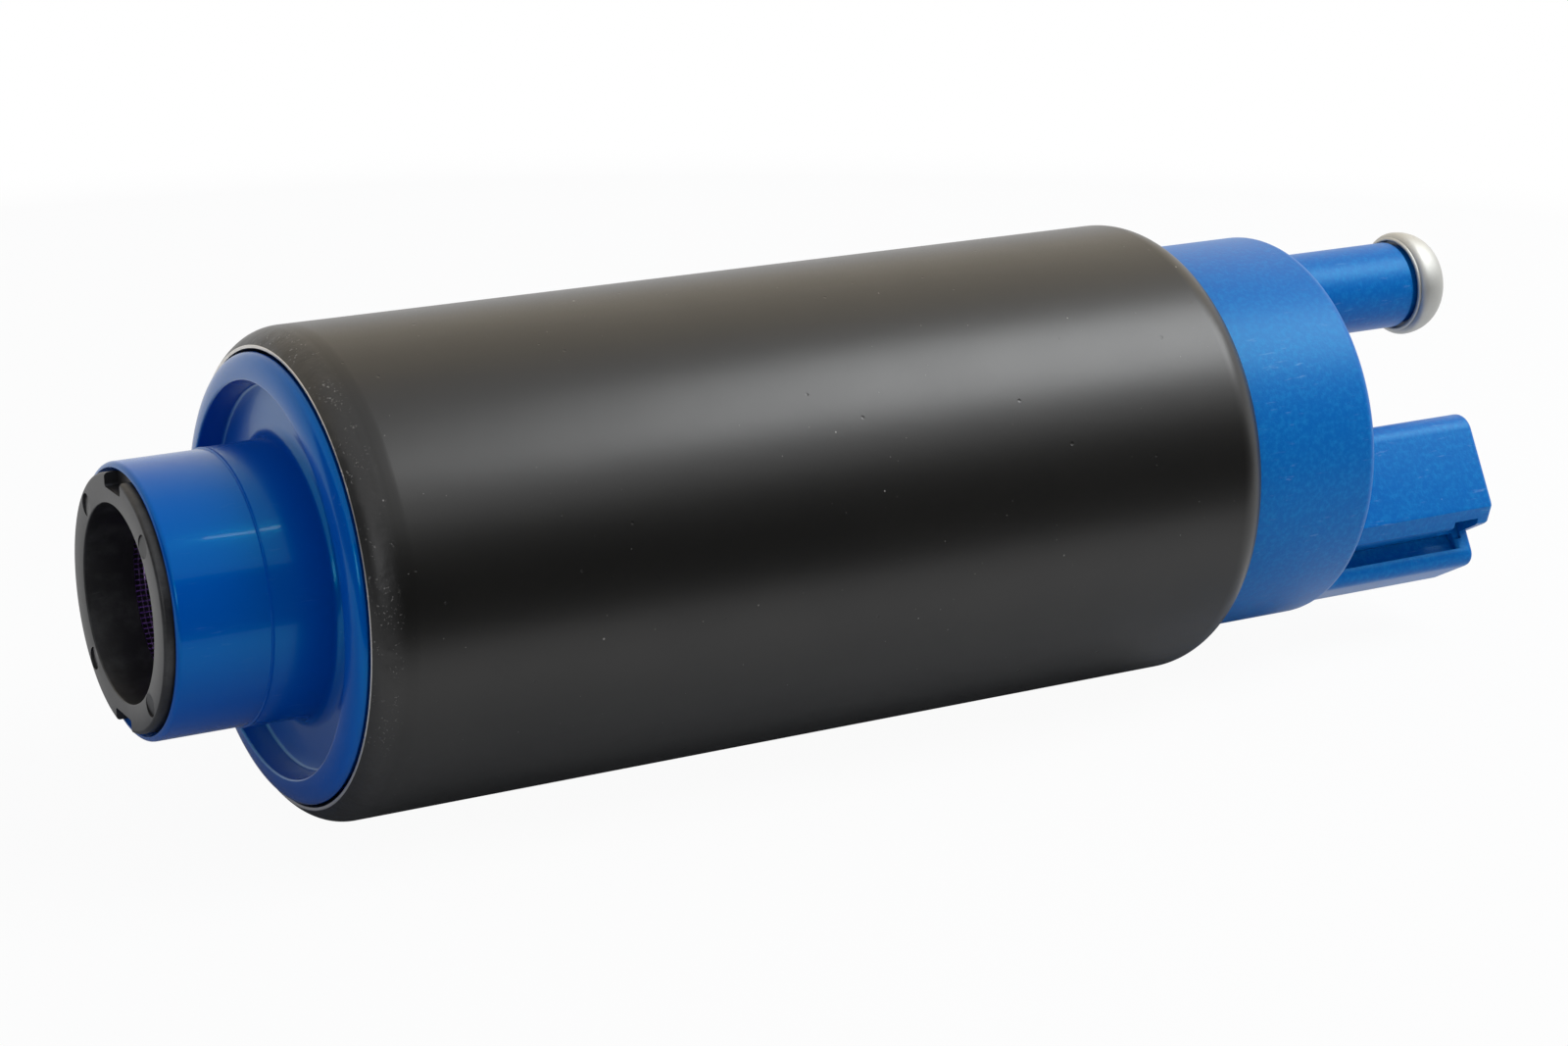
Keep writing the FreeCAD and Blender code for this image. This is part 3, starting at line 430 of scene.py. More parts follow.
@dataclass(frozen=True)
class Moulding(Finish):
    """Moulded plastic: faint flow clouds, fine grain, pale scuffs, and a lighter mottle that is partly a
    painted sheen.
    """

    scuff: Colour = (0.45, 0.6, 0.8)
    mottle_sheen: Colour = (0.2, 0.2, 0.2)
    scuffing: float = 0.1
    grain: float = 0.001
    mottle: float = 0.12
    mottle_scale: float = 0.5
    gloss: float = 0.5
    gloss_tint: Colour = (1.0, 1.0, 1.0)
    skin: float = 0.0

    def paint(self, graph: Graph) -> None:
        """Add the finish's nodes.

        Args:
            graph: Graph of the material.
        """
        cloud = graph.noise(0.18, 3.0)
        mottle = graph.noise(self.mottle_scale, 5.0, roughness=0.65)
        fine = graph.noise(5.0, 2.0)
        rub = graph.noise(1.0, 4.0, graph.stretched((0.5, 3.0, 3.0), 7.0), 0.6)
        scuffs = rub.rise(0.6, 0.75) * cloud.rise(0.45, 0.65)
        nicks = graph.specks(0.5, 0.07, 0.12, 13.0)
        # Lighter mottled patches: random tone, and partly a painted sheen that stands in for speckled
        # highlights.
        colour = graph.mix(mottle.rise(0.4, 0.72) * self.mottle, self.colour, self.mottle_sheen)
        colour = graph.mix(scuffs * self.scuffing, colour, self.scuff)
        colour = graph.mix(nicks * self.scuffing * 3, colour, self.scuff)
        height = fine * self.grain + cloud * 0.01 + mottle * self.mottle * 0.02 - nicks * 0.02
        graph.surface(
            Base_Color=colour,
            Roughness=self.roughness + 0.1 * mottle - 0.05,
            Specular_IOR_Level=self.gloss,
            Specular_Tint=self.gloss_tint,
            Coat_Weight=self.skin,
            Coat_Roughness=0.05,
            Normal=graph.relief(height),
        )


@dataclass(frozen=True)
class Metal(Finish):
    """Bare metal with a fine grain and faint stains."""

    stain: Colour = (0.3, 0.27, 0.24)
    staining: float = 0.25
    grain: float = 0.0015
    grain_stretch: Point = (1.0, 1.0, 1.0)

    def paint(self, graph: Graph) -> None:
        """Add the finish's nodes.

        Args:
            graph: Graph of the material.
        """
        cloud = graph.noise(0.3, 3.0)
        grain = graph.noise(4.0, 3.0, graph.stretched(self.grain_stretch))
        stains = cloud.rise(0.5, 0.75) * self.staining
        graph.surface(
            Base_Color=graph.mix(stains, self.colour, self.stain),
            Metallic=1.0,
            Roughness=self.roughness + 0.12 * grain - 0.06 + 0.1 * stains,
            Normal=graph.relief(grain * self.grain),
        )


@dataclass(frozen=True)
class Mineral(Finish):
    """Carbon, ferrite, rubber or sintered metal: an even, dull, fine-grained surface."""

    grain: float = 0.006
    grain_scale: float = 4.0
    metallic: float = 0.0

    def paint(self, graph: Graph) -> None:
        """Add the finish's nodes.

        Args:
            graph: Graph of the material.
        """
        cloud = graph.noise(0.4, 3.0)
        grain = graph.noise(self.grain_scale, 4.0)
        pores = graph.specks(1.6, 0.2, 0.4)
        dark = tuple(0.6 * c for c in self.colour)
        graph.surface(
            Base_Color=graph.mix(cloud.rise(0.35, 0.7) * 0.6 + pores * 0.3, self.colour, dark),
            Metallic=self.metallic,
            Roughness=self.roughness + 0.1 * grain,
            Normal=graph.relief(grain * self.grain - pores * 0.01),
        )


@dataclass(frozen=True)
class Banded(Finish):
    """Stacked sheet or wound wire: fine bands along the pump's axis."""

    pitch: float = 0.5
    depth: float = 0.04
    dark: Colour = (0.05, 0.04, 0.03)

    def paint(self, graph: Graph) -> None:
        """Add the finish's nodes.

        Args:
            graph: Graph of the material.
        """
        along, _, _ = graph.parts(graph.place())
        wave = (along * (math.tau / self.pitch)).sine() * 0.5 + 0.5
        cloud = graph.noise(0.6, 3.0)
        colour = graph.mix(wave.rise(0.0, 0.5), self.dark, self.colour)
        graph.surface(
            Base_Color=graph.mix(cloud.rise(0.5, 0.8) * 0.3, colour, self.dark),
            Metallic=1.0,
            Roughness=self.roughness + 0.1 * cloud,
            Normal=graph.relief(wave * self.depth),
        )


NET = Metal("screen_net", (0.75, 0.55, 1.0), 0.25, grain=0.02)
DULL_PLASTIC = Moulding("holder_plastic", (0.03, 0.03, 0.032), 0.45, scuff=(0.2, 0.2, 0.2))

SLOT_FINISHES: dict[str, Finish] = {
    "black_steel": CoatedSteel("black_coat", (0.0044, 0.004, 0.0034), 0.32),
    "blue_cover": Moulding("cover_blue", (0.0, 0.082, 0.45), 0.24, scuffing=0.04, mottle=0.0, gloss=0.55,
                           gloss_tint=(0.0, 0.9, 1.0), skin=0.12),
    # The cap's lighter mottle is partly a painted sheen.
    "blue_cap": Moulding("cap_blue", (0.0, 0.112, 0.42), 0.38, mottle_sheen=(0.012, 0.3, 0.64), scuffing=0.22,
                         mottle=0.27, mottle_scale=2.2, grain=0.009, gloss=0.32, gloss_tint=(0.2, 0.85, 1.0)),
    "black_ring": Moulding("ring_black", (0.009, 0.009, 0.0105), 0.42, scuff=(0.3, 0.3, 0.3), grain=0.005),
    "screen": DULL_PLASTIC,
    "stainless": Metal("satin_stainless", (0.5, 0.5, 0.48), 0.6, staining=0.12),
    "spring_steel": Metal("spring_wire", (0.5, 0.5, 0.5), 0.25),
    "sintered": Mineral("sintered_iron", (0.2, 0.2, 0.2), 0.4, metallic=0.9),
    "cast_plate": Metal("cast_aluminium", (0.55, 0.55, 0.56), 0.5, grain=0.01),
    "bush": Metal("bush_bronze", (0.5, 0.3, 0.13), 0.4),
    "shaft_steel": Metal("ground_steel", (0.6, 0.6, 0.6), 0.2, grain_stretch=(6.0, 0.4, 0.4)),
    "laminations": Banded("core_sheets", (0.35, 0.35, 0.36), 0.4),
    "copper": Banded("copper_wire", (0.62, 0.24, 0.08), 0.3, pitch=0.45, depth=0.1, dark=(0.2, 0.05, 0.02)),
    "moulding": DULL_PLASTIC,
    "carbon": Mineral("pressed_carbon", (0.03, 0.03, 0.032), 0.45),
    "ferrite": Mineral("magnet_ferrite", (0.035, 0.035, 0.037), 0.6),
    "terminal": Metal("tinned_brass", (0.72, 0.68, 0.58), 0.28),
    "seal": Mineral("seal_rubber", (0.012, 0.012, 0.012), 0.6),
    "check": Moulding("valve_plastic", (0.62, 0.6, 0.52), 0.4, scuff=(0.8, 0.8, 0.75)),
}


# Shapes.


def polar(along: float, radius: float, bend: float, angle: float) -> Pair:
    """Give the point bend away from (along, radius), at an angle in degrees from outward."""
    turn = math.radians(angle)
    return along + bend * math.sin(turn), radius + bend * math.cos(turn)


def oval(along: float, radius: float, reach: float, spread: float, first: float, last: float,
         steps: int) -> Outline:
    """Give the points of an oval stretch of an outline.

    Args:
        along: Place of its centre along the pump.
        radius: Place of its centre from the axis.
        reach: Half its size along the pump.
        spread: Half its size from the axis outward.
        first: First angle in degrees, from outward towards the outlet.
        last: Last angle in degrees.
        steps: Number of straight steps.

    Returns:
        The points, both ends among them.
    """
    turns = [math.radians(first + (last - first) * i / steps) for i in range(steps + 1)]
    return [(along + reach * math.sin(turn), radius + spread * math.cos(turn)) for turn in turns]


def arc(along: float, radius: float, bend: float, first: float, last: float, steps: int = 10) -> Outline:
    """Give the points of a round stretch of an outline, with the same arguments as an oval."""
    return oval(along, radius, bend, bend, first, last, steps)


def add_object(name: str, data: bpy.types.ID) -> bpy.types.Object:
    """Make an object of some data and put it in the scene.

    Args:
        name: Name of the object.
        data: Its mesh, light or camera.

    Returns:
        The object.
    """
    made = bpy.data.objects.new(name, data)
    bpy.context.scene.collection.objects.link(made)
    return made


def link_mesh(name: str, shape: bmesh.types.BMesh) -> bpy.types.Object:
    """Turn a shape in millimetres into an object in metres.

    Args:
        name: Name of the object and its mesh.
        shape: The shape, freed afterwards.

    Returns:
        The new object.
    """
    bmesh.ops.recalc_face_normals(shape, faces=shape.faces)
    bmesh.ops.scale(shape, vec=(MM, MM, MM), verts=shape.verts)
    mesh = bpy.data.meshes.new(name)
    shape.to_mesh(mesh)
    shape.free()
    return add_object(name, mesh)


def skin(shape: bmesh.types.BMesh, rings: list[list[bmesh.types.BMVert]], closed: bool) -> None:
    """Join rings of points with faces.

    Args:
        shape: Shape that the rings are in.
        rings: Rings with equal numbers of points.
        closed: True where the last ring joins the first, False where the ends get caps.
    """
    count = len(rings[0])
    pairs = list(zip(rings, rings[1:]))
    if closed:
        pairs.append((rings[-1], rings[0]))
    for one, two in pairs:
        for i in range(count):
            j = (i + 1) % count
            shape.faces.new((one[i], one[j], two[j], two[i]))
    if not closed:
        shape.faces.new(rings[0])
        shape.faces.new(reversed(rings[-1]))


def turned(name: str, outline: Outline, middle: Pair = (0.0, 0.0),
           segments: int = SEGMENTS) -> bpy.types.Object:
    """Turn a closed outline about a line along the pump.

    Args:
        name: Name of the object.
        outline: Points as (along, radius); where the first and last lie on the line, it is capped.
        middle: The line's place across and up.
        segments: Number of steps of the turn.

    Returns:
        The turned solid.
    """
    shape = bmesh.new()
    solid = outline[0][1] == 0.0
    rings = []
    for along, radius in outline[1:-1] if solid else outline:
        ring = []
        for i in range(segments):
            angle = math.tau * i / segments
            point = (along, middle[0] + radius * math.sin(angle), middle[1] + radius * math.cos(angle))
            ring.append(shape.verts.new(point))
        rings.append(ring)
    skin(shape, rings, closed=not solid)
    return link_mesh(name, shape)


def rod(name: str, start: float, end: float, radius: float, middle: Pair, segments: int) -> bpy.types.Object:
    """Make a plain cylinder along the pump, from start to end about a line at middle."""
    outline = [(start, 0.0), (start, radius), (end, radius), (end, 0.0)]
    return turned(name, outline, middle, segments)


def prism(name: str, sections: Sections) -> bpy.types.Object:
    """Join cross sections along the pump into a solid.

    Args:
        name: Name of the object.
        sections: Places along the pump, each with its (across, up) points.

    Returns:
        The solid.
    """
    shape = bmesh.new()
    rings = [[shape.verts.new((along, *point)) for point in section] for along, section in sections]
    skin(shape, rings, closed=False)
    return link_mesh(name, shape)


def round_box(half: float, low: float, high: float, low_round: float, high_round: float,
              steps: int = 6) -> Outline:
    """Give the outline of a box about the middle plane with round corners.

    Args:
        half: Half its width.
        low: Its lower face.
        high: Its upper face.
        low_round: Radius of the lower corners.
        high_round: Radius of the upper corners.
        steps: Steps of each corner.

    Returns:
        Points as (across, up).
    """
    corners = (
        (half - high_round, high - high_round, high_round, 0.0),
        (half - low_round, low + low_round, low_round, 90.0),
        (low_round - half, low + low_round, low_round, 180.0),
        (high_round - half, high - high_round, high_round, 270.0),
    )
    points = []
    for across, up, bend, first in corners:
        points += arc(across, up, bend, first, first + 90.0, steps)
    return points


def both_halves(right: Outline) -> Outline:
    """Complete an outline of (across, up) points by mirroring its right half."""
    return right + [(-across, up) for across, up in reversed(right)]


def shrunk(section: Outline, amount: float) -> Outline:
    """Move a convex section's points inward.

    Args:
        section: Points as (across, up), clockwise.
        amount: Distance of each side's move.

    Returns:
        The smaller section.
    """
    if amount == 0.0:
        return section
    points = [Vector(point) for point in section]
    moved = []
    for i, point in enumerate(points):
        before = (point - points[i - 1]).normalized()
        after = (points[(i + 1) % len(points)] - point).normalized()
        inward = Vector((before.y + after.y, -before.x - after.x)).normalized()
        share = max(0.5, inward.dot(Vector((before.y, -before.x))))
        moved.append(tuple(point + inward * (amount / share)))
    return moved


def round_ended(start: float, end: float, section: Outline, bend: float, steps: int = 5) -> Sections:
    """Give the sections of a bar whose outlet end is rounded.

    Args:
        start: Its plain end.
        end: Its rounded end.
        section: Its cross section.
        bend: Radius of the rounding.
        steps: Steps of the rounding.

    Returns:
        Sections for prism.
    """
    sections = [(start, section)]
    for i in range(steps + 1):
        angle = math.pi / 2 * i / steps
        sections.append((end - bend + bend * math.sin(angle), shrunk(section, bend * (1 - math.cos(angle)))))
    return sections


def combine(piece: bpy.types.Object, tool: bpy.types.Object, how: Cut) -> None:
    """Add a solid to a piece or take it away, and remove the tool.

    Args:
        piece: Piece that changes.
        tool: Solid that is added or taken away.
        how: What is done.
    """
    modifier = piece.modifiers.new("combine", "BOOLEAN")
    modifier.operation = how.value
    modifier.solver = "EXACT"
    modifier.object = tool
    graph = bpy.context.evaluated_depsgraph_get()
    mesh = bpy.data.meshes.new_from_object(piece.evaluated_get(graph))
    piece.modifiers.remove(modifier)
    old, piece.data = piece.data, mesh
    mesh.name = piece.name
    bpy.data.meshes.remove(old)
    bpy.data.objects.remove(tool)


def settle(piece: bpy.types.Object, slot: str, *nodes: str, finish: Finish | None = None,
           sharp: float = 32.0) -> None:
    """Shade, dress and place a piece of the housing, and have it stand for its CAD nodes.

    Args:
        piece: The finished shape.
        slot: Material slot that its finish belongs to.
        nodes: CAD nodes that it replaces.
        finish: Its finish, or None for the slot's own.
        sharp: Angle in degrees above which an edge shows.
    """
    mesh = piece.data
    mesh.polygons.foreach_set("use_smooth", [True] * len(mesh.polygons))
    mesh.set_sharp_from_angle(angle=math.radians(sharp))
    mesh.materials.clear()
    mesh.materials.append((finish or SLOT_FINISHES[slot]).material())
    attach(piece, "housing")
    if nodes:
        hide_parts(*nodes)
    spans = [[v.co[i] / MM for v in mesh.vertices] for i in range(3)]
    extent = " x ".join(f"{max(span) - min(span):.2f}" for span in spans)
    log.info("%s: %s mm, %d faces", piece.name, extent, len(mesh.polygons))


# Sub-assemblies.


@dataclass
class Tube:
    """Steel tube with both ends rolled in."""

    radius: float = 19.5
    wall: float = 1.3
    straight_start: float = -40.065
    straight_end: float = 35.266
    roll: float = 3.4
    inlet_turn: float = 55.0
    outlet_turn: float = 75.0
    lip_round: float = 0.14

    def outline(self) -> Outline:
        """Give the tube's section, with a soft edge on both lips.

        Returns:
            Points as (along, radius).
        """
        centre = self.radius - self.roll
        inside = self.roll - self.wall
        soft = math.degrees(self.lip_round / self.roll)
        lip = self.roll - self.lip_round
        return [
            polar(self.straight_start, centre, inside + self.lip_round, -self.inlet_turn),
            polar(self.straight_start, centre, lip, -self.inlet_turn),
            *arc(self.straight_start, centre, self.roll, soft - self.inlet_turn, 0.0, 24),
            *arc(self.straight_end, centre, self.roll, 0.0, self.outlet_turn - soft, 30),
            polar(self.straight_end, centre, lip, self.outlet_turn),
            *arc(self.straight_end, centre, inside, self.outlet_turn, 0.0, 10),
            *arc(self.straight_start, centre, inside, 0.0, 2.0 - self.inlet_turn, 10),
        ]

    def build(self) -> None:
        """Make the tube."""
        settle(turned("tube", self.outline(), segments=FINE_SEGMENTS), "black_steel", "casing")


@dataclass
class InletEnd:
    """Blue inlet cover, its black ring and the screen behind the ring."""

    cover_back: float = -33.35
    mouth: float = -54.95
    passage: float = 10.09
    spigot: float = 10.78
    step: float = 0.1
    ridge: float = 0.03
    ridge_half: float = 0.06
    ridge_foot: Pair = (0.14, 0.22)
    draft: float = 0.08
    step_at: float = -47.55
    mouth_round: float = 0.42
    mouth_bevel: float = 0.32
    mouth_edge: Pair = (0.04, 0.06)
    floor: float = -41.75
    foot_round: float = 1.0
    recess_foot: float = 15.0
    recess_round: float = 0.3
    bead_crest: float = -43.85
    bead_radius: float = 16.38
    bead_bend: float = 0.8
    bead_edge: float = 0.2
    bead_outer: float = 17.72
    bead_depth: float = 1.02
    bead_steps: int = 21
    bead_tuck: Pair = (0.35, 0.2)
    skirt_start: float = -41.8
    skirt_end: float = -40.1
    seat: float = 18.15
    vent_place: Pair = (-12.33, 1.73)
    vent_radius: float = 0.7
    vent_depth: float = 3.5
    ring_front: float = -55.7
    ring_back: float = -49.7
    ring_radius: float = 10.05
    ring_bore: float = 7.74
    ring_round: float = 0.3
    ring_segments: int = 192
    bore_round: float = 0.12
    notch_width: float = 3.4
    notch_reach: float = 1.2
    notch_length: float = 1.1
    notch_round: float = 0.2
    mark_circle: float = 8.78
    mark_radius: float = 0.9
    mark_depth: float = 0.24
    mark_turns: tuple[float, ...] = (45.0, 135.0, 225.0, 315.0)
    net_radius: float = 8.25
    net_seat: float = 8.6
    net_gap: float = 0.1
    net_start: float = -51.55
    net_end: float = -37.4
    net_sides: int = 24
    wires_a_side: int = 5
    net_pitch: float = 0.42
    net_wire: float = 0.13

    def cover_outline(self) -> Outline:
        """Give the section of the cover.

        Returns:
            Points as (along, radius).
        """
        wide, foot, bend = self.spigot + self.step, self.foot_round, self.mouth_round
        return [
            (self.cover_back, self.passage),
            (self.mouth + self.mouth_bevel, self.passage),
            (self.mouth + self.mouth_edge[0], self.passage + self.mouth_bevel - self.mouth_edge[1]),
            *arc(self.mouth + bend, self.spigot - bend, bend, -90.0, 0.0, 6),
            (self.step_at - self.ridge_half, self.spigot),
            (self.step_at, wide + self.ridge),
            (self.step_at + self.ridge_half, wide + self.ridge),
            *((self.step_at + along, wide) for along in self.ridge_foot),
            *arc(self.floor - foot, wide + self.draft + foot, foot, 180.0, 90.0, 8),
            *arc(self.floor - self.recess_round, self.recess_foot, self.recess_round, 90.0, 0.0, 5),
            *self.bead(),
            (self.skirt_start, self.bead_radius + self.bead_bend),
            (self.skirt_end, self.seat),
            (self.cover_back, self.seat),
        ]

    def bead(self) -> Outline:
        """Give the rim bead: a tight inner edge, then a full slope out to the tube's lip.

        Returns:
            Points as (along, radius).
        """
        tight, outer, foot = self.bead_edge, self.bead_outer, self.bead_crest + self.bead_depth
        inner = self.bead_radius - self.bead_bend + tight
        return [
            *arc(self.bead_crest + tight, inner, tight, -180.0, -100.0, 6),
            *oval(foot, inner, self.bead_depth, outer - inner, -90.0, 0.0, self.bead_steps),
            (foot + self.bead_tuck[0], outer - self.bead_tuck[1]),
        ]

    def build(self) -> None:
        """Make the cover, the ring and the screen."""
        self.build_cover()
        self.build_ring()
        self.build_net()

    def build_cover(self) -> None:
        """Make the blue cover with its vent hole."""
        cover = turned("inlet_moulding", self.cover_outline(), segments=FINE_SEGMENTS)
        start, end = self.floor - CLEAR, self.floor + self.vent_depth
        combine(cover, rod("vent", start, end, self.vent_radius, self.vent_place, 32), Cut.TAKE)
        settle(cover, "blue_cover", "inlet_cover")

    def build_ring(self) -> None:
        """Make the ring with its two notches and the four moulding marks."""
        bend, inner, ledge = self.ring_round, self.bore_round, self.net_start - self.net_gap
        outline = [
            (self.ring_back, self.net_seat),
            (ledge, self.net_seat),
            (ledge, self.ring_bore),
            *arc(self.ring_front + inner, self.ring_bore + inner, inner, -180.0, -90.0, 3),
            *arc(self.ring_front + bend, self.ring_radius - bend, bend, -90.0, 0.0, 6),
            (self.ring_back, self.ring_radius),
        ]
        ring = turned("inlet_ring_moulding", outline, segments=self.ring_segments)
        low, high = self.ring_radius - self.notch_reach, self.ring_radius * 1.2
        start, end = self.ring_front - CLEAR, self.ring_front + self.notch_length
        for side in (1, -1):
            section = round_box(self.notch_width / 2, low, high, self.notch_round, self.notch_round, 3)
            section = [(across, side * up) for across, up in section]
            combine(ring, prism("notch", [(start, section), (end, section)]), Cut.TAKE)
        for turn in self.mark_turns:
            combine(ring, self.mark_cutter(turn), Cut.TAKE)
        settle(ring, "black_ring", "inlet_ring")

    def mark_cutter(self, turn: float) -> bpy.types.Object:
        """Make the leaning disc that cuts one half-moon moulding mark.

        Args:
            turn: Its place round the ring, in degrees.

        Returns:
            The cutter.
        """
        angle = math.radians(turn)
        middle = (self.mark_circle * math.sin(angle), self.mark_circle * math.cos(angle))
        face = self.ring_front + self.mark_depth / 2
        disc = rod("mark", self.ring_front - CLEAR, face, self.mark_radius, middle, 32)
        pivot = Vector((face, *middle)) * MM
        tangent = Vector((0.0, -math.cos(angle), math.sin(angle)))
        lean = Matrix.Rotation(-math.atan(self.mark_depth / 2 / self.mark_radius), 4, tangent)
        disc.data.transform(Matrix.Translation(pivot) @ lean @ Matrix.Translation(-pivot))
        return disc

    def build_net(self) -> None:
        """Make the woven net that lines the screen's cup."""
        shape = bmesh.new()
        start, end, half, sides = self.net_start, self.net_end, self.net_wire / 2, self.net_sides
        axis = Vector((1.0, 0.0, 0.0))
        corners = []
        for i in range(sides + 1):
            angle = math.tau * i / sides
            corners.append(Vector((0.0, math.sin(angle), math.cos(angle))) * self.net_radius)
        for i in range(sides * self.wires_a_side):
            side, part = divmod(i, self.wires_a_side)
            middle = corners[side].lerp(corners[side + 1], (part + 0.5) / self.wires_a_side)
            out = middle.normalized() * half
            ends = [self.wire_points(shape, middle + axis * at, out, out.cross(axis)) for at in (start, end)]
            skin(shape, ends, closed=False)
        for i in range(int((end - start) / self.net_pitch) + 1):
            along = axis * (start + i * self.net_pitch + half)
            rings = []
            for corner in corners[:-1]:
                out = corner.normalized() * half
                rings.append(self.wire_points(shape, corner + along, out, axis * half))
            skin(shape, rings, closed=True)
        settle(link_mesh("screen_net", shape), "screen", finish=NET, sharp=60.0)

    @staticmethod
    def wire_points(shape: bmesh.types.BMesh, place: Vector, one: Vector,
                    two: Vector) -> list[bmesh.types.BMVert]:
        """Add the four points round a wire, one and two to either side of its place."""
        return [shape.verts.new(place + offset) for offset in (one, two, -one, -two)]


@dataclass
class OutletEnd:
    """Blue outlet cap with its tube, ferrule and electrical connector."""

    cap_start: float = 31.27
    straight_end: float = 35.266
    lip_end: float = 38.67
    groove: float = 16.631
    under_end: float = 37.246
    cap_end: float = 51.45
    cap_floor: float = 48.45
    neck: float = 16.9
    neck_round: float = 1.1
    neck_bevel: float = 0.15
    seat: float = 18.15
    hollow: float = 14.7
    tube_up: float = 11.1
    tube_radius: float = 3.92
    tube_bore: float = 2.9
    tube_end: float = 70.55
    foot_round: float = 0.6
    sunk: float = 0.5
    shroud_sunk: float = 2.3
    groove_depth: float = 0.3
    groove_edge: Pairs = ((0.42, 0.0), (0.3, 0.14), (0.2, 0.3))
    seat_hole: float = 1.7
    seat_end: float = 50.45
    shroud_end: float = 68.65
    half_width: float = 7.4
    top: float = -2.9
    bottom: float = -13.2
    top_round: float = 1.8
    bevel: float = 1.4
    bevel_round: float = 0.22
    end_round: float = 0.55
    wall: float = 1.2
    socket_floor: float = 54.45
    socket_round: float = 0.5
    socket_flare: float = 0.3
    flare_length: float = 0.35
    rail_bottom: float = -16.2
    rail_crown: float = 1.3
    rail_web: float = 2.4
    rail_half: float = 3.5
    rail_round: float = 1.2
    lean_steps: int = 8
    lean_power: float = 1.8
    lean_end: Pair = (0.1, 0.25)
    rail_end: float = 68.15
    block_length: float = 1.7
    block_round: float = 0.4
    block_inset: float = 0.03
    block_back: float = 0.02
    block_sunk: float = 0.6
    latch_start: float = 64.55
    latch_end: float = 67.15
    latch_inner: float = 3.0
    latch_outer: float = 0.35
    latch_past: float = 0.6
    latch_round: float = 0.2
    slot_place: float = 3.1
    slot_half: float = 0.4
    slot_reach: Pair = (-9.45, -6.65)
    slot_round: float = 0.05
    ferrule_stem: float = 61.05
    ferrule_end: float = 73.55
    ferrule_radius: float = 4.72
    ferrule_bore: float = 2.3
    dome_start: float = 70.62
    dome_steps: int = 25
    dome_low: float = 0.07
    dome_edge: float = 0.25
    crease: Pairs = ((0.22, 0.03), (0.42, 0.12), (0.56, 0.25), (0.64, 0.4))
    crease_end: Pair = (0.66, 0.04)
    lip_round: float = 0.17
    lip_start: float = 69.7
    lip_radius: float = 4.16

    def build(self) -> None:
        """Make the cap and the ferrule."""
        self.build_cap()
        self.build_ferrule()

    def shell_outline(self) -> Outline:
        """Give the section of the cap's round body.

        Returns:
            Points as (along, radius).
        """
        bend = self.neck_round
        return [
            (self.cap_floor, 0.0),
            (self.cap_floor, self.hollow),
            (self.cap_start, self.hollow),
            (self.cap_start, self.seat),
            (self.straight_end, self.seat),
            (self.under_end, self.groove),
            (self.lip_end, self.groove),
            (self.lip_end, self.neck - self.neck_bevel),
            (self.lip_end + self.neck_bevel, self.neck),
            *arc(self.cap_end - bend, self.neck - bend, bend, 0.0, 90.0, 10),
            (self.cap_end, 0.0),
        ]

    def build_cap(self) -> None:
        """Make the cap with its tube, connector and rail as one moulding."""
        cap = turned("outlet_moulding", self.shell_outline(), segments=FINE_SEGMENTS)
        foot, sunk, groove = self.foot_round, self.sunk, self.tube_radius - self.groove_depth
        tube = [
            (self.cap_floor + sunk, 0.0),
            (self.cap_floor + sunk, self.tube_radius),
            (self.cap_end - sunk, self.tube_radius + foot),
            *arc(self.cap_end + foot, self.tube_radius + foot, foot, 270.0, 180.0, 6),
            *((self.lip_start - back, self.tube_radius - deep) for back, deep in self.groove_edge),
            (self.tube_end, groove),
            (self.tube_end, 0.0),
        ]
        combine(cap, turned("tube_wall", tube, (0.0, self.tube_up), 96), Cut.ADD)
        section = self.shroud_section()
        start = self.cap_end - self.shroud_sunk
        shroud = prism("shroud", round_ended(start, self.shroud_end, section, self.end_round))
        combine(cap, shroud, Cut.ADD)
        self.add_rail(cap, start)
        self.cut_socket(cap)
        self.cut_passages(cap)
        cap.data.transform(OUTLET_TURN)
        settle(cap, "blue_cap", "outlet_cap")

    def shroud_section(self) -> Outline:
        """Give the connector's outline: round upper corners, and softened bevels below.

        Returns:
            Points as (across, up).
        """
        half, low, high, bend = self.half_width, self.bottom, self.top, self.top_round
        soft = self.bevel_round
        right = [
            *arc(half - bend, high - bend, bend, 0.0, 90.0, 10),
            (half, low + self.bevel + soft),
            (half - soft * 0.3, low + self.bevel - soft * 0.7),
            (half - self.bevel + soft * 0.7, low + soft * 0.3),
            (half - self.bevel - soft, low),
        ]
        return both_halves(right)

    def add_rail(self, cap: bpy.types.Object, start: float) -> None:
        """Add the T-shaped key rail and its end block.

        Args:
            cap: The cap.
            start: End of the rail inside the cap.
        """
        crown_top, half, bend = self.rail_bottom + self.rail_crown, self.rail_half, self.rail_round
        reach = half - self.lean_end[0] - self.rail_web
        drop = crown_top - self.lean_end[1] - self.bottom
        lean = []
        for i in range(self.lean_steps + 1):
            share = i / self.lean_steps
            lean.append((self.rail_web + reach * share ** self.lean_power, self.bottom + drop * share))
        right = [
            (self.rail_web, self.bottom + self.sunk),
            *lean,
            *arc(half - bend, self.rail_bottom + bend, bend, 75.0, 180.0, 12),
        ]
        rail = both_halves(right)
        combine(cap, prism("rail", [(start, rail), (self.rail_end - self.sunk, rail)]), Cut.ADD)
        inset = self.block_inset
        block = round_box(half - inset, self.rail_bottom + inset, self.bottom + self.block_sunk, bend, 0.1, 8)
        ends = round_ended(0.0, self.block_length / 2, block, self.block_round, 4)
        middle = self.rail_end - self.block_length / 2 - self.block_back
        solid = [(middle - along, section) for along, section in reversed(ends[1:])]
        solid += [(middle + along, section) for along, section in ends[1:]]
        combine(cap, prism("block", solid), Cut.ADD)

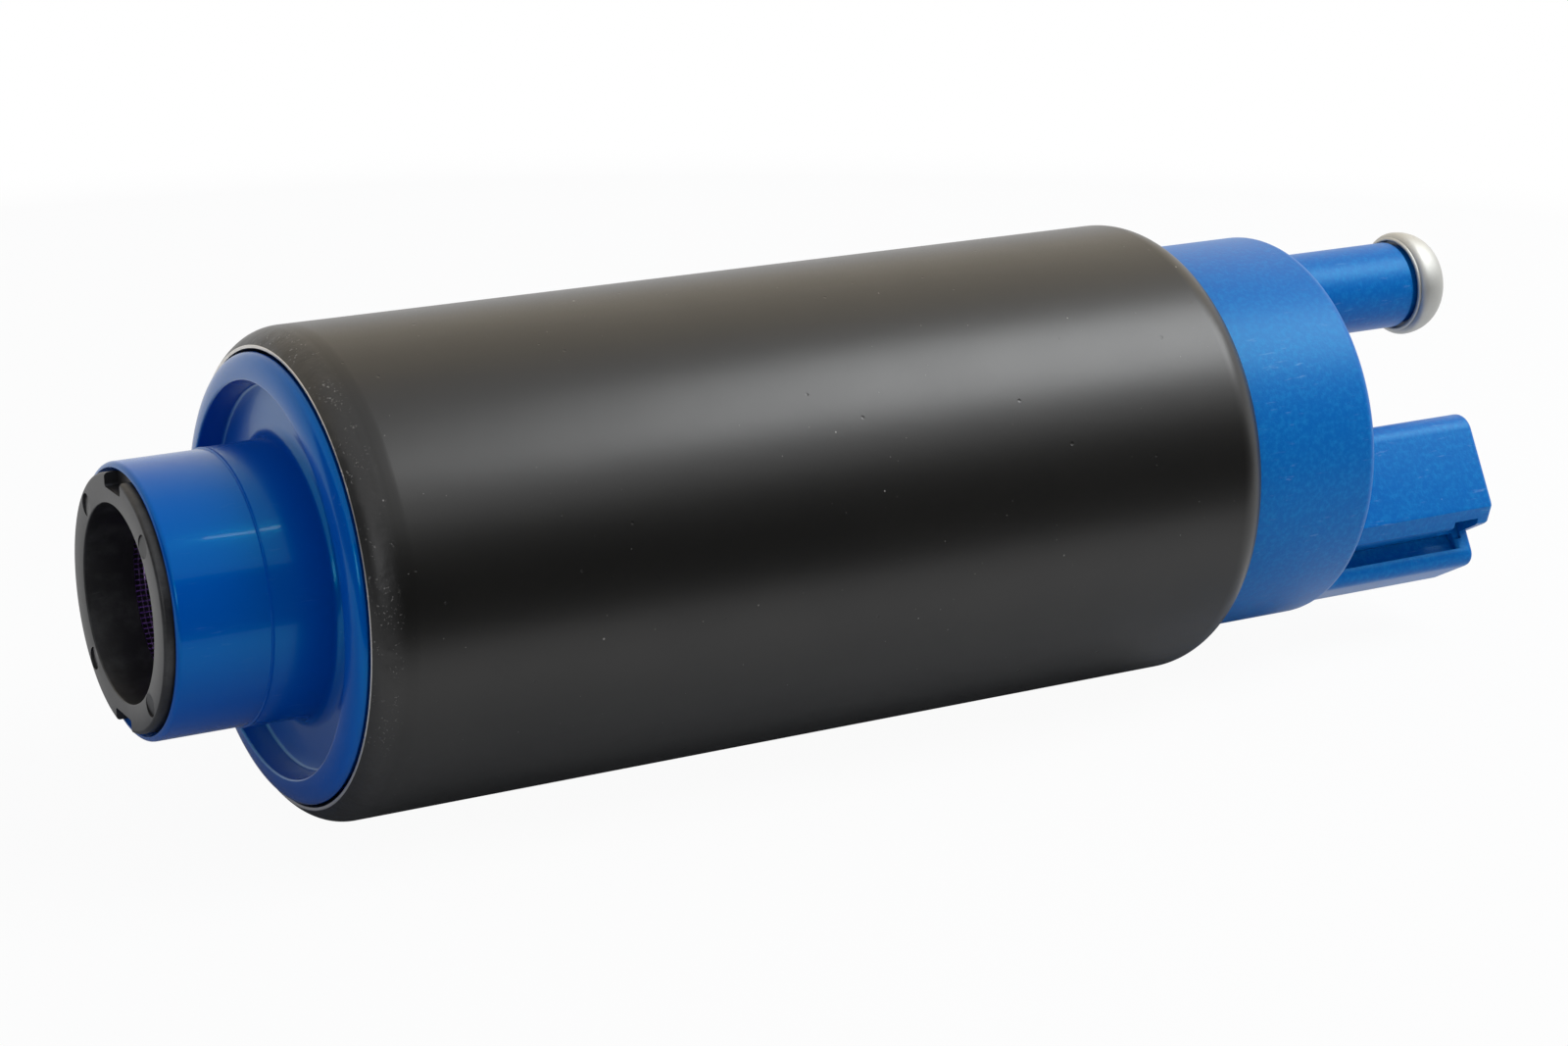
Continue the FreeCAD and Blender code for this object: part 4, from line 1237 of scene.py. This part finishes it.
    def cut_socket(self, cap: bpy.types.Object) -> None:
        """Cut the socket and the two latch windows.

        Args:
            cap: The cap.
        """
        half = self.half_width - self.wall
        low, high = self.bottom + self.wall, self.top - self.wall
        bend, flare = self.socket_round, self.socket_flare
        section = round_box(half, low, high, bend, bend, 4)
        wide = round_box(half + flare, low - flare, high + flare, bend + flare, bend + flare, 4)
        mouth, taper = self.shroud_end, self.flare_length
        sections = [(self.socket_floor, section), (mouth - taper, section), (mouth + flare, wide)]
        combine(cap, prism("socket", sections), Cut.TAKE)
        near, far = half - self.latch_inner, half + self.latch_outer
        past, bend = self.latch_past, self.latch_round
        window = round_box((far - near) / 2, self.bottom - past, low + past, bend, bend, 2)
        self.cut_pair(cap, window, (near + far) / 2, self.latch_start, self.latch_end)

    def cut_passages(self, cap: bpy.types.Object) -> None:
        """Cut the check valve's seat, the tube's bore and the terminals' slots.

        Args:
            cap: The cap.
        """
        middle, below, past = (0.0, self.tube_up), self.cap_floor - CLEAR, 0.2
        combine(cap, rod("seat", below, self.seat_end + past, self.seat_hole, middle, 48), Cut.TAKE)
        combine(cap, rod("bore", self.seat_end, self.tube_end + CLEAR, self.tube_bore, middle, 64), Cut.TAKE)
        slot = round_box(self.slot_half, *self.slot_reach, self.slot_round, self.slot_round, 1)
        self.cut_pair(cap, slot, self.slot_place, below, self.socket_floor + past)

    @staticmethod
    def cut_pair(cap: bpy.types.Object, section: Outline, place: float, start: float, end: float) -> None:
        """Cut the same section on both sides of the middle plane.

        Args:
            cap: The cap.
            section: Points as (across, up).
            place: Distance of both cuts from the middle plane.
            start: One end along the pump.
            end: The other end.
        """
        for side in (-1, 1):
            moved = [(side * place + across, up) for across, up in section]
            combine(cap, prism("cutter", [(start, moved), (end, moved)]), Cut.TAKE)

    def build_ferrule(self) -> None:
        """Make the stainless ferrule: a curled lip, a crease and the dome."""
        end, wide, lip, thin = self.ferrule_end, self.ferrule_radius, self.lip_start, self.lip_round
        start, low = self.dome_start, self.ferrule_bore + self.dome_low
        outline = [
            (self.ferrule_stem, self.ferrule_bore),
            (end - self.dome_edge, self.ferrule_bore),
            *oval(start, low, end - 0.01 - start, wide - low, 90.0, 0.0, self.dome_steps),
            *((start - back, wide - deep) for back, deep in self.crease),
            (start - self.crease_end[0], self.lip_radius + self.crease_end[1]),
            *arc(lip + thin, self.lip_radius, thin, 40.0, -150.0, 8),
            (lip + thin + 0.1, self.lip_radius - thin),
            (self.tube_end - 0.05, self.lip_radius - thin),
            (self.tube_end + 0.02, self.tube_radius - self.groove_depth),
            (self.tube_end + 0.01, self.tube_bore),
            (self.ferrule_stem, self.tube_bore),
        ]
        ferrule = turned("outlet_ferrule_bead", outline, (0.0, self.tube_up), 128)
        ferrule.data.transform(OUTLET_TURN)
        settle(ferrule, "stainless", "outlet_ferrule", sharp=40.0)


@dataclass(frozen=True)
class Winding:
    """A compression spring wound between start and end."""

    name: str
    node: str
    joint: str
    middle: Pair
    radius: float
    wire: float
    start: float
    end: float
    turns: float
    seat: float
    keep: float
    turned: bool = True
    flat: float = 0.9
    turn_steps: int = 24
    wire_sides: int = 8

    def build(self) -> None:
        """Wind the spring."""
        shape = bmesh.new()
        steps = int(self.turns * self.turn_steps)
        skin(shape, [self.ring(shape, self.turns * i / steps) for i in range(steps + 1)], closed=False)
        spring = link_mesh(self.name, shape)
        if self.turned:
            spring.data.transform(OUTLET_TURN)
        settle(spring, "spring_steel", self.node, sharp=80.0)
        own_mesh(spring)

    def ring(self, shape: bmesh.types.BMesh, turn: float) -> list[bmesh.types.BMVert]:
        """Give the ring of points round the wire after some turns; the end turns lie flat.

        Args:
            shape: Shape of the spring.
            turn: Number of turns from the start.

        Returns:
            The points.
        """
        wire, flat, half = self.wire, self.flat, self.wire / 2
        free = min(max((turn - flat) / (self.turns - 2 * flat), 0.0), 1.0)
        closing = wire * (min(turn, flat) + min(max(turn - self.turns + flat, 0.0), flat))
        span = self.end - self.start - wire - 2 * flat * wire
        out = Vector((0.0, math.sin(math.tau * turn), math.cos(math.tau * turn)))
        along = self.start + half + closing + free * span
        centre = Vector((along, *self.middle)) + out * (self.radius - half)
        points = []
        for i in range(self.wire_sides):
            around = math.tau * i / self.wire_sides
            offset = out * math.cos(around) + Vector((1.0, 0.0, 0.0)) * math.sin(around)
            points.append(shape.verts.new(centre + offset * half))
        return points


@dataclass
class Springs:
    """The wound springs of both valves and both brushes."""

    windings: tuple[Winding, ...] = (
        Winding("relief_coil", "relief_spring", "relief_valve_lift", (-12.33, 1.73), radius=1.5, wire=0.4,
                start=-38.2, end=-34.95, turns=4.5, seat=-38.25, keep=0.7, turned=False),
        Winding("check_coil", "check_spring", "check_valve_lift", (0.0, 11.1), radius=2.5, wire=0.5,
                start=53.95, end=61.0, turns=6.0, seat=61.05, keep=0.71),
        *(Winding(f"brush_coil_{name}", f"brush_spring_{name}", f"brush_{name}_slide", (across, 0.0),
                  radius=1.85, wire=0.4, start=30.0, end=36.0, turns=7.0, seat=36.07, keep=0.67)
          for name, across in (("front", -8.3), ("back", 8.3))),
    )

    def build(self) -> None:
        """Wind every spring."""
        for winding in self.windings:
            winding.build()


def dress_nodes() -> None:
    """Give every CAD node that still shows the finish of its material slot."""
    slots = {part["node"]: part["material_slot"] for part in frame["record"]["subparts"]}
    for name, node in frame["nodes"].items():
        if node.hide_render:
            continue
        finish = SLOT_FINISHES[slots[name]]
        for holder in node.material_slots:
            holder.material = finish.material()
        log.info("%s: dressed as %s", name, finish.name)


# Studio.


@dataclass
class Studio:
    """White floor and backdrop, a softbox, five cards that the pump reflects, and the camera."""

    floor_half: float = 3000.0
    white_far: Pair = (60.0, 260.0)
    white_aside: Pair = (14.0, 40.0)
    white_ahead: Pair = (50.0, 58.0)
    paper: Colour = (0.62, 0.62, 0.62)
    room: Colour = (0.48, 0.5, 0.54)
    box_place: Point = (380.0, -148.0, 330.0)
    box_size: Pair = (460.0, 245.0)
    box_radiance: float = 6.8
    box_tint: Colour = (0.97, 0.99, 1.0)
    card_span: Pair = (-500.0, 700.0)
    card_foot: float = FLOOR_Z + 0.2
    card_black: Colour = (0.012, 0.012, 0.013)
    card_white: Colour = (1.0, 1.0, 1.0)
    card_warm: Colour = (0.9, 0.8, 0.65)
    camera_place: Point = (-141.029, -252.548, 85.855)
    look: Point = (0.47246, 0.83234, -0.28982)
    roll: float = 0.21
    lens: float = 83.43

    def build(self) -> None:
        """Set up the floor, the lights, the world and the camera."""
        self.build_floor()
        self.build_world()
        self.build_softbox()
        low = self.card_foot
        dark = self.along_pump([(-66.0, low), (-330.0, low), (-330.0, 190.0)])
        side = [((-420.0, -330.0, up), (-420.0, 190.0, up)) for up in (low, 270.0)]
        warm = self.along_pump([(90.0, 360.0), (420.0, 170.0)])
        glint = [((48.0, depth, 330.0), (92.0, depth, 330.0)) for depth in (-202.0, -186.0)]
        front = [((-250.0, -240.0, up), (-140.0, -300.0, up)) for up in (50.0, 130.0)]
        self.build_card("dark_card", dark, self.card_black, 0.0)
        self.build_card("side_card", side, self.card_black, 0.0)
        self.build_card("warm_card", warm, self.card_warm, 0.9)
        self.build_card("glint_card", glint, self.card_white, 14.0)
        self.build_card("front_card", front, self.card_white, 3.0)
        self.build_camera()

    def backdrop_rays(self, graph: Graph) -> Signal:
        """Give 1 for the rays that should meet white."""
        found = [graph.node("ShaderNodeLightPath", None, None, ray.value) for ray in Ray]
        return found[0].highest(found[1]).highest(found[2])

    def build_floor(self) -> None:
        """Make the pale floor, which keeps the pump's shadow near it and is white further out."""
        shape = bmesh.new()
        far = self.floor_half
        corners = [(-far, -far), (far, -far), (far, far), (-far, far)]
        shape.faces.new([shape.verts.new((x, y, FLOOR_Z)) for x, y in corners])
        floor = link_mesh("floor", shape)
        material, graph = new_material("pale_floor")
        across, depth, _ = graph.parts(graph.place())
        away = (across * across + depth * depth).root().rise(*self.white_far)
        seen = graph.node("ShaderNodeLightPath", None, None, Ray.CAMERA.value)
        mirrored = depth.absolute().rise(*self.white_aside).highest(across.rise(*self.white_ahead) * 0.85)
        near = 0.95 * seen + (1 - seen) * mirrored
        share = self.backdrop_rays(graph) * near.highest(away)
        paper = graph.node("ShaderNodeBsdfDiffuse", None, {"Color": self.paper})
        white = graph.node("ShaderNodeEmission", None, {"Color": (1.0, 1.0, 1.0), "Strength": 1.0})
        inputs = {"Fac": share, "Shader": paper, "Shader_001": white}
        graph.node_output(graph.node("ShaderNodeMixShader", None, inputs))
        floor.data.materials.append(material)

    def build_world(self) -> None:
        """Make the room: white to the rays that meet the backdrop, and dim light otherwise."""
        world = bpy.data.worlds.new("room")
        bpy.context.scene.world = world
        world.use_nodes = True
        graph = Graph(world.node_tree)
        colour = graph.mix(self.backdrop_rays(graph), self.room, (1.0, 1.0, 1.0))
        light = graph.node("ShaderNodeBackground", None, {"Color": colour, "Strength": 1.0})
        output = graph.tree.nodes.new("ShaderNodeOutputWorld")
        graph.tree.links.new(light.socket, output.inputs["Surface"])

    def build_softbox(self) -> None:
        """Hang the softbox over the pump, facing straight down."""
        data = bpy.data.lights.new("softbox", "AREA")
        data.shape = "RECTANGLE"
        data.size, data.size_y = (side * MM for side in self.box_size)
        data.energy = self.box_radiance * math.pi * data.size * data.size_y
        data.color = self.box_tint
        place = Vector(self.box_place) * MM
        add_object("softbox", data).matrix_world = Matrix.Translation(place)

    def along_pump(self, path: Outline) -> list[tuple[Point, Point]]:
        """Give the edges of a long card from its section as (depth, up) points."""
        left, right = self.card_span
        return [((left, depth, up), (right, depth, up)) for depth, up in path]

    def build_card(self, name: str, edges: list[tuple[Point, Point]], colour: Colour, glow: float) -> None:
        """Stand a bent card near the pump, which the pump reflects and the camera doesn't see.

        Args:
            name: Name of the card.
            edges: Its folds and ends in order, each from one side to the other.
            colour: Its colour.
            glow: Its own brightness, for a card that is lit from behind.
        """
        shape = bmesh.new()
        rows = [[shape.verts.new(point) for point in edge] for edge in edges]
        for one, two in zip(rows, rows[1:]):
            shape.faces.new((one[0], one[1], two[1], two[0]))
        card = link_mesh(name, shape)
        material, graph = new_material(name)
        weave = graph.noise(0.5, 2.0)
        cloth = graph.mix(weave, tuple(0.8 * c for c in colour), colour)
        graph.surface(Base_Color=cloth, Roughness=0.9, Emission_Color=cloth, Emission_Strength=glow)
        card.data.materials.append(material)
        card.visible_camera = False
        card.visible_shadow = False
        card.visible_diffuse = False

    def build_camera(self) -> None:
        """Place the camera as the photograph's was."""
        data = bpy.data.cameras.new("photo_camera")
        data.lens = self.lens
        data.sensor_width = 36.0
        data.sensor_fit = "HORIZONTAL"
        data.clip_start, data.clip_end = 0.01, 20.0
        camera = add_object("photo_camera", data)
        forward = Vector(self.look).normalized()
        level = forward.cross(Vector((0.0, 0.0, 1.0))).normalized()
        above = level.cross(forward)
        turn = math.radians(self.roll)
        right = level * math.cos(turn) + above * math.sin(turn)
        up = above * math.cos(turn) - level * math.sin(turn)
        axes = Matrix((right, up, -forward)).transposed().to_4x4()
        camera.matrix_world = Matrix.Translation(Vector(self.camera_place) * MM) @ axes
        bpy.context.scene.camera = camera


def main() -> None:
    """Build the studio and every sub-assembly."""
    logging.basicConfig(level=logging.INFO, format="%(message)s", stream=sys.stdout)
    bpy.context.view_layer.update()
    scene = bpy.context.scene
    scene.view_settings.view_transform = "Standard"
    Studio().build()
    Tube().build()
    InletEnd().build()
    OutletEnd().build()
    Springs().build()
    dress_nodes()
    bpy.context.view_layer.update()


if __name__ == "__main__":
    main()
